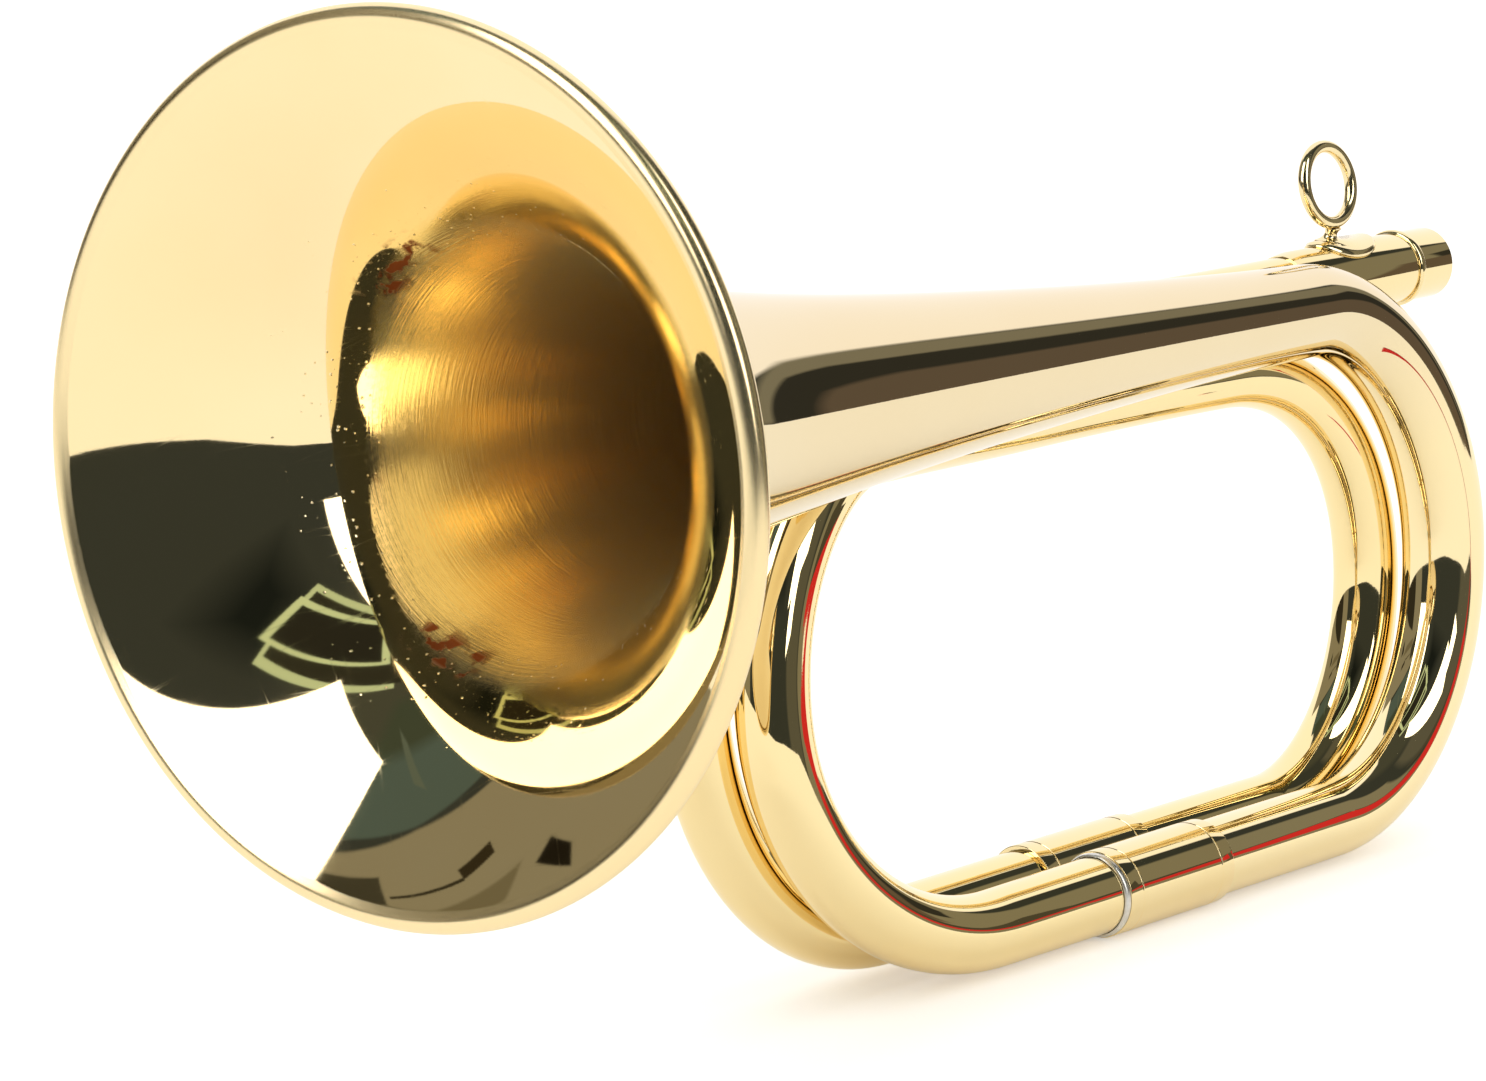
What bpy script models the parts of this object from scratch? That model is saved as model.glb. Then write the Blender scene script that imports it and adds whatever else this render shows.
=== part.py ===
"""Brass bugle with two loops of tube, standing on its two lowest tubes.

The air path runs from the mouthpiece receiver down the mouthpipe, through the far ferrule into
the middle branch, through the near ferrule into the bell branch and out of the bell flare.
X runs along the tubes towards the receiver, the bell opens towards -X, and Z is up.
While it is built, the middle of the rolled rim is near X = 0 and the near bottom tube's axis is Y = Z = 0.
At the end the whole bugle is carried to the middle of its base.
"""

import math

import bpy
from mathutils import Matrix, Vector

MM = 0.001
GAP = 0.3 * MM            # clear space between pieces that touch
TUBE_WALL = 0.55 * MM
CURVE_HANDLE = 0.5523     # handle of a Bezier quarter ellipse, as a share of its half axis

# Bell: a spun flare with its edge rolled over a wire
RIM_CENTRE = Vector((-1.7, -13.04, 90.86)) * MM    # on the bell's axis, at the rim's front
RIM_RADIUS = 60.0 * MM
RIM_BEAD_RADIUS = 1.7 * MM
RIM_SHEET_WALL = 0.5 * MM
RIM_WIRE_RADIUS = 0.85 * MM
RIM_SHEET_ANGLE = math.radians(27)    # between the sheet and the rim's plane, where the roll begins
RIM_ROLL_SWEEP = math.radians(285)
FLARE_SEAM_DEPTH = 25.6 * MM          # where the flare is brazed to the bell branch
FLARE_SCALE_DEPTH = 21.0 * MM
FLARE_SHARPNESS = 0.97
FLARE_STEP_BUNCHING = 1.4             # above 1 sets the flare's rings closer together near the rim
STEM_MOUTH_SWELL = 14.0 * MM          # how much wider the plain taper is at the rim
STEM_POWER = 1.42
STEM_STEP_BUNCHING = 1.5              # above 1 sets the stem's rings closer together near the flare

# Loops: the ends of each bow's reach, its furthest X, and the heights and depths that it joins
NEAR_RIGHT_BOW_X = 258.1 * MM
NEAR_RIGHT_REACH_LOW = 36.8 * MM
NEAR_RIGHT_REACH_HIGH = 37.2 * MM
BELL_TAIL = Vector((5.0, 83.5)) * MM          # Y and Z where the bow meets the bell's taper
FAR_RIGHT_BOW_X = 253.3 * MM
FAR_RIGHT_REACH_LOW = 31.4 * MM
FAR_RIGHT_REACH_HIGH = 39.2 * MM
MIDDLE_RIGHT = Vector((16.3, 72.9)) * MM
MIDDLE_CENTRE = Vector((17.95, 72.7)) * MM
MIDDLE_LEFT = Vector((10.6, 74.5)) * MM
MIDDLE_RIGHT_WAY = Vector((1.0, -0.09, 0.0))  # which way the middle run heads at each place
MIDDLE_CENTRE_WAY = Vector((1.0, 0.04, 0.0))
MIDDLE_LEFT_WAY = Vector((1.0, 0.22, -0.04))
NEAR_LEFT_BOW_X = 92.7 * MM
NEAR_LEFT_REACH_LOW = 43.0 * MM
NEAR_LEFT_REACH_HIGH = 26.8 * MM
FAR_LEFT_BOW_X = 86.0 * MM
FAR_LEFT_REACH_LOW = 39.0 * MM
FAR_LEFT_REACH_HIGH = 39.8 * MM
MOUTHPIPE_LEFT = Vector((17.6, 85.0)) * MM
MOUTHPIPE_RIGHT = Vector((18.5, 84.4)) * MM
FAR_PLANE_Y = 13.35 * MM                      # the far bottom tube's axis

# Outer radii along the air path, which widens all the way
MOUTHPIPE_RADIUS = 5.3 * MM
FAR_LEFT_RADIUS = 5.4 * MM
FAR_BOTTOM_RADIUS = 5.5 * MM
FAR_RIGHT_RADIUS = 5.4 * MM
MIDDLE_RADIUS = 5.4 * MM
NEAR_LEFT_RADIUS = 6.0 * MM
NEAR_BOTTOM_RADIUS = 6.15 * MM
NEAR_RIGHT_RADIUS = 6.9 * MM
BELL_TAIL_RADIUS = 7.6 * MM

# Ferrules over the two butt joints of the branches
FERRULE_LENGTH = 26.4 * MM
FERRULE_WALL = 0.4 * MM
FERRULE_LINE_INSET = 3.1 * MM
FERRULE_LINE_WIDTH = 0.4 * MM
FERRULE_LINE_DEPTH = 0.15 * MM
NEAR_FERRULE_X = 174.1 * MM
FAR_FERRULE_X = 172.0 * MM
COLLAR_WIDTH = 0.6 * MM                       # the solder that shows at the near ferrule's end

# Mouthpiece receiver with its ring, and the lanyard ring on its saddle
RECEIVER_START_X = 234.0 * MM
RECEIVER_END_X = 275.5 * MM
RECEIVER_RADIUS = 5.95 * MM
RECEIVER_LAP = 16.0 * MM                      # how far the mouthpipe goes into it
RECEIVER_LEAD_IN = 2.5 * MM                   # the bevel at its mouthpipe end
RECEIVER_EDGE = 0.1 * MM
SOCKET_RADIUS_DEEP = 4.5 * MM
SOCKET_RADIUS_MOUTH = 5.0 * MM
RECEIVER_RING_X = 266.4 * MM
RECEIVER_RING_WIDTH = 1.6 * MM
RECEIVER_RING_HEIGHT = 0.5 * MM
SADDLE_X = 250.9 * MM
SADDLE_HALF_LENGTH = 7.3 * MM
SADDLE_HALF_WIDTH = 5.2 * MM
SADDLE_THICKNESS = 0.6 * MM
SADDLE_TOP_SHARE = 0.6                        # of its length and width that the neck grows from
SADDLE_EDGE_SHARE = 0.93                      # of its length and width where its edge rounds over
LANYARD_RING_X = 247.4 * MM
LANYARD_RING_RISE = 16.0 * MM                # its centre above the mouthpipe's axis
LANYARD_RING_LEAN = math.radians(10.7)        # its top leans away from the near loop
LANYARD_RING_RADIUS = 6.35 * MM
LANYARD_WIRE_RADIUS = 1.1 * MM
NECK_BASE_RADIUS = 2.2 * MM
NECK_WAIST_RADIUS = 1.1 * MM
NECK_TOP_RADIUS = 1.4 * MM

# Solder beads in the valleys between tubes that touch, from X to X
SOLDER_RADIUS = 0.6 * MM
TOP_SOLDER_SPAN = (202.0 * MM, 218.0 * MM)
MIDDLE_SOLDER_SPAN = (184.0 * MM, 206.0 * MM)
FERRULE_SOLDER_SPAN = (164.0 * MM, 182.0 * MM)

# How finely round shapes are divided
FLARE_SIDES = 44
BELL_BRANCH_SIDES = 24
TUBE_SIDES = 16
SLEEVE_SIDES = 24
BOW_STEPS = 8

AXIS_X = Vector((1.0, 0.0, 0.0))
AXIS_Y = Vector((0.0, 1.0, 0.0))
AXIS_Z = Vector((0.0, 0.0, 1.0))


def place(x, depth_and_height):
    """Point at x, with the Y and Z of a two-number vector."""
    return Vector((x, depth_and_height[0], depth_and_height[1]))


# Materials and objects

def brass(name, colour, roughness, metallic=1.0):
    """Principled material for one piece."""
    material = bpy.data.materials.new(name)
    material.use_nodes = True
    shader = material.node_tree.nodes["Principled BSDF"]
    shader.inputs["Base Color"].default_value = (*colour, 1.0)
    shader.inputs["Roughness"].default_value = roughness
    shader.inputs["Metallic"].default_value = metallic
    return material


def add_piece(name, vertices, faces, material, parent, crease_degrees=35.0):
    """Makes one smooth-shaded object from its points and faces."""
    mesh = bpy.data.meshes.new(name)
    mesh.from_pydata(vertices, [], faces)
    mesh.update()
    mesh.shade_smooth()
    mesh.set_sharp_from_angle(angle=math.radians(crease_degrees))
    mesh.materials.append(material)
    piece = bpy.data.objects.new(name, mesh)
    bpy.context.scene.collection.objects.link(piece)
    piece.parent = parent
    return piece


def ring_faces(loops, sides, closed):
    """Quads between neighbouring loops; closed joins the last loop to the first."""
    faces = []
    for i in range(loops if closed else loops - 1):
        here = i * sides
        after = ((i + 1) % loops) * sides
        for k in range(sides):
            right = (k + 1) % sides
            faces.append((here + k, here + right, after + right, after + k))
    return faces


def turned(name, profile, origin, axis, sides, material, parent, crease_degrees=35.0):
    """Turns a closed profile of (along, radius) points about an axis, with its faces pointing out."""
    area = 0.0
    for (along_a, radius_a), (along_b, radius_b) in zip(profile, profile[1:] + profile[:1]):
        area += along_a * radius_b - along_b * radius_a
    if area > 0:
        profile = profile[::-1]
    axis = axis.normalized()
    up = (AXIS_Z - axis * axis.dot(AXIS_Z)).normalized()
    side = axis.cross(up)
    vertices = []
    for along, radius in profile:
        for k in range(sides):
            turn = 2 * math.pi * k / sides
            spoke = up * math.cos(turn) + side * math.sin(turn)
            vertices.append(origin + axis * along + spoke * radius)
    faces = ring_faces(len(profile), sides, closed=True)
    return add_piece(name, vertices, faces, material, parent, crease_degrees)


# Tube paths

def bezier_points(start, start_way, end, end_way, steps):
    """Points from start to end, without the start; the ways are the handles, both forwards."""
    handle_a = start + start_way
    handle_b = end - end_way
    points = []
    for i in range(1, steps + 1):
        t = i / steps
        s = 1 - t
        points.append(start * s**3 + handle_a * (3 * s * s * t) + handle_b * (3 * s * t * t) + end * t**3)
    return points


def bow_points(first, first_way, apex_x, last, last_way, steps):
    """Two quarter ellipses from first round the bow's furthest X to last."""
    apex = Vector((apex_x, (first.y + last.y) / 2, (first.z + last.z) / 2))
    climb = last - first
    climb.x = 0.0
    half_height = climb * 0.5
    points = bezier_points(first, first_way * abs(apex_x - first.x) * CURVE_HANDLE,
                           apex, half_height * CURVE_HANDLE, steps)
    points += bezier_points(apex, half_height * CURVE_HANDLE,
                            last, last_way * abs(apex_x - last.x) * CURVE_HANDLE, steps)
    return points


def path_tangents(points, first_way, last_way):
    """Unit tangents, from the neighbours of each point; the two ends are given."""
    tangents = [first_way.normalized()]
    for i in range(1, len(points) - 1):
        before = (points[i] - points[i - 1]).normalized()
        after = (points[i + 1] - points[i]).normalized()
        tangents.append((before + after).normalized())
    tangents.append(last_way.normalized())
    return tangents


def swept_rings(points, tangents, radii, sides):
    """Rings of points round a path, carried along it without twisting."""
    up = (AXIS_Z - tangents[0] * tangents[0].dot(AXIS_Z)).normalized()
    vertices = []
    for i, (point, tangent, radius) in enumerate(zip(points, tangents, radii)):
        if i:
            up = tangents[i - 1].rotation_difference(tangent) @ up
        side = tangent.cross(up)
        for k in range(sides):
            turn = 2 * math.pi * k / sides
            vertices.append(point + (up * math.cos(turn) + side * math.sin(turn)) * radius)
    return vertices


def tube(name, points, tangents, radii, wall, sides, material, parent):
    """Open tube with a wall: the outside one way, the bore back, and a flat ring at each end."""
    outside = swept_rings(points, tangents, radii, sides)
    bore = swept_rings(points, tangents, [radius - wall for radius in radii], sides)
    rings = [bore[i:i + sides] for i in range(0, len(bore), sides)]
    vertices = outside + [vertex for ring in reversed(rings) for vertex in ring]
    faces = ring_faces(2 * len(points), sides, closed=True)
    return add_piece(name, vertices, faces, material, parent)


def spread(start, end, count):
    """Values from start to end, both included."""
    return [start + (end - start) * i / (count - 1) for i in range(count)]


# Bell

def bell_axis():
    """Unit vector from the rim into the bell."""
    tail = place(NEAR_RIGHT_BOW_X - NEAR_RIGHT_REACH_HIGH, BELL_TAIL)
    return (tail - RIM_CENTRE).normalized()


def bell_length():
    tail = place(NEAR_RIGHT_BOW_X - NEAR_RIGHT_REACH_HIGH, BELL_TAIL)
    return (tail - RIM_CENTRE).length


def stem_radius(depth):
    """Outer radius of the plain taper, which ends at the near right bow."""
    share = max(0.0, 1 - depth / bell_length())
    return BELL_TAIL_RADIUS + STEM_MOUTH_SWELL * share**STEM_POWER


def flare_rise():
    """How far the flare stands out from the plain taper, set so that it meets the rolled rim."""
    roll_start = rim_roll_point(0.0, RIM_BEAD_RADIUS - RIM_SHEET_WALL)
    fall = math.exp(-((roll_start[0] / FLARE_SCALE_DEPTH) ** FLARE_SHARPNESS))
    return (roll_start[1] - stem_radius(roll_start[0])) / fall


def bell_radius(depth):
    """Outer radius of the bell at a depth behind the rim's front."""
    fall = math.exp(-((depth / FLARE_SCALE_DEPTH) ** FLARE_SHARPNESS))
    return stem_radius(depth) + flare_rise() * fall


def rim_roll_point(share, radius):
    """Point (depth, radius) on the rolled rim, at a share from 0 to 1 of the roll's sweep."""
    angle = RIM_SHEET_ANGLE + math.pi - share * RIM_ROLL_SWEEP
    depth = RIM_BEAD_RADIUS + radius * math.cos(angle)
    return depth, RIM_RADIUS - RIM_BEAD_RADIUS + radius * math.sin(angle)


def make_flare(parent):
    """The spun flare, from its brazed seam out to its rolled rim."""
    inner_roll = RIM_BEAD_RADIUS - RIM_SHEET_WALL
    roll_start = rim_roll_point(0.0, inner_roll)
    steps = 11
    back = []
    for i in range(steps + 1):
        share = (1 - i / steps) ** FLARE_STEP_BUNCHING
        depth = roll_start[0] + (FLARE_SEAM_DEPTH - roll_start[0]) * share
        back.append((depth, bell_radius(depth)))
    front = []
    for i, (depth, radius) in enumerate(back):
        ahead = back[min(i + 1, steps)]
        behind = back[max(i - 1, 0)]
        run = Vector((ahead[0] - behind[0], ahead[1] - behind[1])).normalized()
        if i == 0:
            front.append((depth, radius + RIM_SHEET_WALL / run.x))
        else:
            front.append((depth - run.y * RIM_SHEET_WALL, radius + run.x * RIM_SHEET_WALL))
    roll_steps = 9
    inside = [rim_roll_point(i / roll_steps, inner_roll) for i in range(1, roll_steps + 1)]
    outside = [rim_roll_point(i / roll_steps, RIM_BEAD_RADIUS) for i in range(roll_steps, -1, -1)]
    profile = back + inside + outside + front[-2::-1]
    turned("bell_flare", profile, RIM_CENTRE, bell_axis(), FLARE_SIDES,
           brass("polished_flare_brass", (0.83, 0.62, 0.27), 0.08), parent)


def make_rim_wire(parent):
    """The wire that the rim is rolled over."""
    sides = 6
    centre_radius = RIM_RADIUS - RIM_BEAD_RADIUS
    profile = []
    for k in range(sides):
        turn = -2 * math.pi * k / sides
        profile.append((RIM_BEAD_RADIUS + RIM_WIRE_RADIUS * math.cos(turn),
                        centre_radius + RIM_WIRE_RADIUS * math.sin(turn)))
    turned("rim_wire", profile, RIM_CENTRE, bell_axis(), FLARE_SIDES,
           brass("rim_wire_steel", (0.45, 0.44, 0.42), 0.4), parent)


# Branches

def make_bell_branch(parent):
    """From the near ferrule round the near right bow and along the taper to the flare."""
    low = Vector((NEAR_RIGHT_BOW_X - NEAR_RIGHT_REACH_LOW, 0.0, 0.0))
    high = place(NEAR_RIGHT_BOW_X - NEAR_RIGHT_REACH_HIGH, BELL_TAIL)
    start = Vector((NEAR_FERRULE_X + GAP / 2, 0.0, 0.0))
    towards_bell = -bell_axis()
    points = [start, low]
    radii = [NEAR_BOTTOM_RADIUS, NEAR_BOTTOM_RADIUS]
    points += bow_points(low, AXIS_X, NEAR_RIGHT_BOW_X, high, towards_bell, BOW_STEPS)
    radii += spread(NEAR_BOTTOM_RADIUS, NEAR_RIGHT_RADIUS, BOW_STEPS + 1)[1:]
    radii += spread(NEAR_RIGHT_RADIUS, BELL_TAIL_RADIUS, BOW_STEPS + 1)[1:]
    stem_steps = 14
    seam = FLARE_SEAM_DEPTH + GAP
    for i in range(1, stem_steps + 1):
        share = (1 - i / stem_steps) ** STEM_STEP_BUNCHING
        depth = seam + (bell_length() - seam) * share
        points.append(RIM_CENTRE + bell_axis() * depth)
        radii.append(bell_radius(depth))
    tangents = path_tangents(points, AXIS_X, towards_bell)
    tube("bell_branch", points, tangents, radii, TUBE_WALL, BELL_BRANCH_SIDES,
         brass("bell_branch_brass", (0.80, 0.60, 0.28), 0.1), parent)


def middle_run_anchors():
    """The three points that the middle run passes, with its direction at each."""
    left = place(NEAR_LEFT_BOW_X + NEAR_LEFT_REACH_HIGH, MIDDLE_LEFT)
    right = place(FAR_RIGHT_BOW_X - FAR_RIGHT_REACH_HIGH, MIDDLE_RIGHT)
    centre = place((left.x + right.x) / 2, MIDDLE_CENTRE)
    return [(left, MIDDLE_LEFT_WAY.normalized()), (centre, MIDDLE_CENTRE_WAY.normalized()),
            (right, MIDDLE_RIGHT_WAY.normalized())]


def make_middle_branch(parent):
    """From the far ferrule round the far right bow, under the bell, and round to the near ferrule."""
    (left, left_way), (centre, centre_way), (right, right_way) = middle_run_anchors()
    start = Vector((FAR_FERRULE_X + GAP / 2, FAR_PLANE_Y, 0.0))
    low_right = Vector((FAR_RIGHT_BOW_X - FAR_RIGHT_REACH_LOW, FAR_PLANE_Y, 0.0))
    low_left = Vector((NEAR_LEFT_BOW_X + NEAR_LEFT_REACH_LOW, 0.0, 0.0))
    end = Vector((NEAR_FERRULE_X - GAP / 2, 0.0, 0.0))
    run_steps = 4
    points = [start, low_right]
    points += bow_points(low_right, AXIS_X, FAR_RIGHT_BOW_X, right, -right_way, BOW_STEPS)
    handle = (right - centre).length / 3
    points += bezier_points(right, -right_way * handle, centre, -centre_way * handle, run_steps)
    points += bezier_points(centre, -centre_way * handle, left, -left_way * handle, run_steps)
    points += bow_points(left, -left_way, NEAR_LEFT_BOW_X, low_left, AXIS_X, BOW_STEPS)
    points.append(end)
    radii = [FAR_BOTTOM_RADIUS, FAR_BOTTOM_RADIUS]
    radii += spread(FAR_BOTTOM_RADIUS, FAR_RIGHT_RADIUS, 2 * BOW_STEPS + 1)[1:]
    radii += spread(FAR_RIGHT_RADIUS, MIDDLE_RADIUS, 2 * run_steps + 1)[1:]
    radii += spread(MIDDLE_RADIUS, NEAR_LEFT_RADIUS, 2 * BOW_STEPS + 1)[1:]
    radii.append(NEAR_BOTTOM_RADIUS)
    tangents = path_tangents(points, AXIS_X, AXIS_X)
    tube("middle_branch", points, tangents, radii, TUBE_WALL, TUBE_SIDES,
         brass("middle_branch_brass", (0.80, 0.58, 0.26), 0.1), parent)


def mouthpipe_point(x):
    """Point on the mouthpipe's straight top run."""
    left_x = FAR_LEFT_BOW_X + FAR_LEFT_REACH_HIGH
    share = (x - left_x) / (RECEIVER_END_X - left_x)
    return place(x, MOUTHPIPE_LEFT.lerp(MOUTHPIPE_RIGHT, share))


def mouthpipe_axis():
    return (mouthpipe_point(RECEIVER_END_X) - mouthpipe_point(RECEIVER_START_X)).normalized()


def make_mouthpipe(parent):
    """From inside the receiver along the top, round the far left bow to the far ferrule."""
    end_x = RECEIVER_START_X + RECEIVER_LAP
    top_left = mouthpipe_point(FAR_LEFT_BOW_X + FAR_LEFT_REACH_HIGH)
    low = Vector((FAR_LEFT_BOW_X + FAR_LEFT_REACH_LOW, FAR_PLANE_Y, 0.0))
    end = Vector((FAR_FERRULE_X - GAP / 2, FAR_PLANE_Y, 0.0))
    towards_bow = -mouthpipe_axis()
    points = [mouthpipe_point(end_x), top_left]
    points += bow_points(top_left, towards_bow, FAR_LEFT_BOW_X, low, AXIS_X, BOW_STEPS)
    points.append(end)
    radii = [MOUTHPIPE_RADIUS, MOUTHPIPE_RADIUS]
    radii += spread(MOUTHPIPE_RADIUS, FAR_LEFT_RADIUS, 2 * BOW_STEPS + 1)[1:]
    radii.append(FAR_BOTTOM_RADIUS)
    tangents = path_tangents(points, towards_bow, AXIS_X)
    tube("mouthpipe", points, tangents, radii, TUBE_WALL, TUBE_SIDES,
         brass("mouthpipe_brass", (0.80, 0.59, 0.27), 0.1), parent)


# Sleeves

def make_ferrule(name, centre, tube_radius, parent):
    """Sleeve over a butt joint, with a line scribed round it near each end."""
    bore = tube_radius + GAP
    outside = bore + FERRULE_WALL
    bevel = 0.15 * MM
    half = FERRULE_LENGTH / 2
    line = half - FERRULE_LINE_INSET
    half_line = FERRULE_LINE_WIDTH / 2
    profile = [(-half, bore), (-half, outside - bevel), (-half + bevel, outside)]
    for middle in (-line, line):
        profile.append((middle - half_line, outside))
        profile.append((middle, outside - FERRULE_LINE_DEPTH))
        profile.append((middle + half_line, outside))
    profile += [(half - bevel, outside), (half, outside - bevel), (half, bore)]
    turned(name, profile, centre, AXIS_X, SLEEVE_SIDES,
           brass(name + "_brass", (0.82, 0.61, 0.29), 0.12), parent, 20.0)


def make_solder_collar(parent):
    """Ring of solder that shows where the near left tube enters its ferrule."""
    bore = NEAR_BOTTOM_RADIUS + GAP / 2
    outside = bore + FERRULE_WALL
    end = NEAR_FERRULE_X - FERRULE_LENGTH / 2 - GAP
    profile = [(-COLLAR_WIDTH, bore), (-COLLAR_WIDTH / 3, outside), (0.0, outside), (0.0, bore)]
    turned("near_ferrule_solder", profile, Vector((end, 0.0, 0.0)), AXIS_X, SLEEVE_SIDES,
           brass("near_ferrule_solder_tin", (0.55, 0.54, 0.52), 0.35), parent)


def make_receiver(parent):
    """Sleeve over the mouthpipe's end, bored as a taper socket for a mouthpiece shank."""
    length = RECEIVER_END_X - RECEIVER_START_X
    lap = RECEIVER_LAP + GAP
    sleeve_bore = MOUTHPIPE_RADIUS + GAP
    bevel = 0.2 * MM
    profile = [
        (0.0, sleeve_bore),
        (0.0, sleeve_bore + RECEIVER_EDGE),
        (RECEIVER_LEAD_IN, RECEIVER_RADIUS),
        (length - bevel, RECEIVER_RADIUS),
        (length, RECEIVER_RADIUS - bevel),
        (length, SOCKET_RADIUS_MOUTH),
        (lap, SOCKET_RADIUS_DEEP),
        (lap, sleeve_bore),
    ]
    turned("mouthpiece_receiver", profile, mouthpipe_point(RECEIVER_START_X), mouthpipe_axis(),
           SLEEVE_SIDES, brass("receiver_brass", (0.82, 0.62, 0.30), 0.1), parent)


def make_receiver_ring(parent):
    """Half-round ring round the receiver."""
    bore = RECEIVER_RADIUS + GAP / 2
    half = RECEIVER_RING_WIDTH / 2
    steps = 6
    profile = [(-half, bore)]
    for i in range(1, steps):
        turn = math.pi * i / steps
        profile.append((-half * math.cos(turn), bore + RECEIVER_RING_HEIGHT * math.sin(turn)))
    profile.append((half, bore))
    turned("receiver_ring", profile, mouthpipe_point(RECEIVER_RING_X), mouthpipe_axis(),
           SLEEVE_SIDES, brass("receiver_ring_brass", (0.83, 0.63, 0.31), 0.1), parent)


# Lanyard fitting

def lanyard_ring_centre():
    return mouthpipe_point(LANYARD_RING_X) + AXIS_Z * LANYARD_RING_RISE


def lanyard_ring_up():
    """Unit vector in the ring's plane, from its centre to its top."""
    return Vector((0.0, math.sin(LANYARD_RING_LEAN), math.cos(LANYARD_RING_LEAN)))


def make_saddle(parent):
    """Leaf-shaped saddle bent over the receiver, with the neck that holds the lanyard ring."""
    sides = 24
    inner = RECEIVER_RADIUS + GAP
    outer = inner + SADDLE_THICKNESS
    axis_point = mouthpipe_point(SADDLE_X)
    ring_foot = lanyard_ring_centre() - lanyard_ring_up() * LANYARD_RING_RADIUS
    neck_top = ring_foot - AXIS_Z * (LANYARD_WIRE_RADIUS + GAP)
    neck_foot = mouthpipe_point(LANYARD_RING_X) + AXIS_Z * outer

    def leaf(share, radius):
        """Loop at a share of the leaf's length and width, at a radius from the receiver's axis."""
        loop = []
        for k in range(sides):
            turn = 2 * math.pi * k / sides
            along = SADDLE_HALF_LENGTH * share * math.cos(turn)
            lean = -SADDLE_HALF_WIDTH * share * math.sin(turn) / inner
            loop.append(axis_point + Vector((along, radius * math.sin(lean), radius * math.cos(lean))))
        return loop

    def disc(radius, centre):
        loop = []
        for k in range(sides):
            turn = 2 * math.pi * k / sides
            loop.append(centre + Vector((radius * math.cos(turn), -radius * math.sin(turn), 0.0)))
        return loop

    edge_radius = inner + SADDLE_THICKNESS / 2
    loops = [
        leaf(SADDLE_TOP_SHARE / 2, inner), leaf(SADDLE_TOP_SHARE, inner), leaf(1.0, inner),
        leaf(1.0, edge_radius), leaf(SADDLE_EDGE_SHARE, outer), leaf(SADDLE_TOP_SHARE, outer),
        disc(NECK_BASE_RADIUS, neck_foot),
        disc(NECK_WAIST_RADIUS, (neck_foot + neck_top) / 2),
        disc(NECK_TOP_RADIUS, neck_top),
    ]
    vertices = [vertex for loop in loops for vertex in loop]
    faces = [tuple(reversed(face)) for face in ring_faces(len(loops), sides, closed=False)]
    faces.append(tuple(range(sides)))
    faces.append(tuple(reversed(range((len(loops) - 1) * sides, len(loops) * sides))))
    add_piece("lanyard_saddle", vertices, faces,
              brass("lanyard_saddle_brass", (0.82, 0.62, 0.30), 0.12), parent)


def make_lanyard_ring(parent):
    """Wire ring that stands on the saddle's neck, nearly in the plane of the tubes."""
    sides = 8
    profile = []
    for k in range(sides):
        turn = -2 * math.pi * k / sides
        profile.append((LANYARD_WIRE_RADIUS * math.cos(turn),
                        LANYARD_RING_RADIUS + LANYARD_WIRE_RADIUS * math.sin(turn)))
    turned("lanyard_ring", profile, lanyard_ring_centre(), lanyard_ring_up().cross(AXIS_X), 32,
           brass("lanyard_ring_brass", (0.83, 0.63, 0.31), 0.12), parent)


# Solder in the valleys between tubes that touch

def valley_point(centre_a, radius_a, centre_b, radius_b, side):
    """Centre of a small round bead that lies against both tubes; side is +1 or -1."""
    reach_a = radius_a + SOLDER_RADIUS + GAP
    reach_b = radius_b + SOLDER_RADIUS + GAP
    across = Vector((0.0, centre_b.y - centre_a.y, centre_b.z - centre_a.z))
    distance = across.length
    along = (reach_a**2 - reach_b**2 + distance**2) / (2 * distance)
    rise = math.sqrt(max(reach_a**2 - along**2, 0.0))
    across.normalize()
    return centre_a + across * along + AXIS_X.cross(across) * rise * side


def make_solder(name, tube_a, tube_b, span, side, parent):
    """Round bead of solder; each tube is a function from x to its centre and outer radius."""
    steps = 6
    sides = 8
    points = []
    for x in spread(span[0], span[1], steps):
        centre_a, radius_a = tube_a(x)
        centre_b, radius_b = tube_b(x)
        points.append(valley_point(centre_a, radius_a, centre_b, radius_b, side))
    tangents = path_tangents(points, points[1] - points[0], points[-1] - points[-2])
    radii = [SOLDER_RADIUS] * steps
    radii[0] = radii[-1] = SOLDER_RADIUS / 2
    vertices = swept_rings(points, tangents, radii, sides)
    faces = ring_faces(len(points), sides, closed=False)
    last = (len(points) - 1) * sides
    faces.append(tuple(reversed(range(sides))))
    faces.append(tuple(range(last, last + sides)))
    add_piece(name, vertices, faces, brass(name + "_tin", (0.62, 0.50, 0.33), 0.3), parent)


def bell_stem_at(x):
    axis = bell_axis()
    depth = (x - RIM_CENTRE.x) / axis.x
    return RIM_CENTRE + axis * depth, bell_radius(depth)


def mouthpipe_at(x):
    return mouthpipe_point(x), MOUTHPIPE_RADIUS


def middle_run_at(x):
    """Centre on the right half of the middle run, found on its curve."""
    _, (centre, centre_way), (right, right_way) = middle_run_anchors()
    handle = (right - centre).length / 3
    steps = 60
    curve = [centre] + bezier_points(centre, centre_way * handle, right, right_way * handle, steps)
    nearest = min(range(1, steps + 1), key=lambda i: abs((curve[i].x + curve[i - 1].x) / 2 - x))
    before, after = curve[nearest - 1], curve[nearest]
    return before.lerp(after, (x - before.x) / (after.x - before.x)), MIDDLE_RADIUS


def near_ferrule_at(x):
    return Vector((x, 0.0, 0.0)), NEAR_BOTTOM_RADIUS + GAP + FERRULE_WALL


def far_ferrule_at(x):
    return Vector((x, FAR_PLANE_Y, 0.0)), FAR_BOTTOM_RADIUS + GAP + FERRULE_WALL


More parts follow.
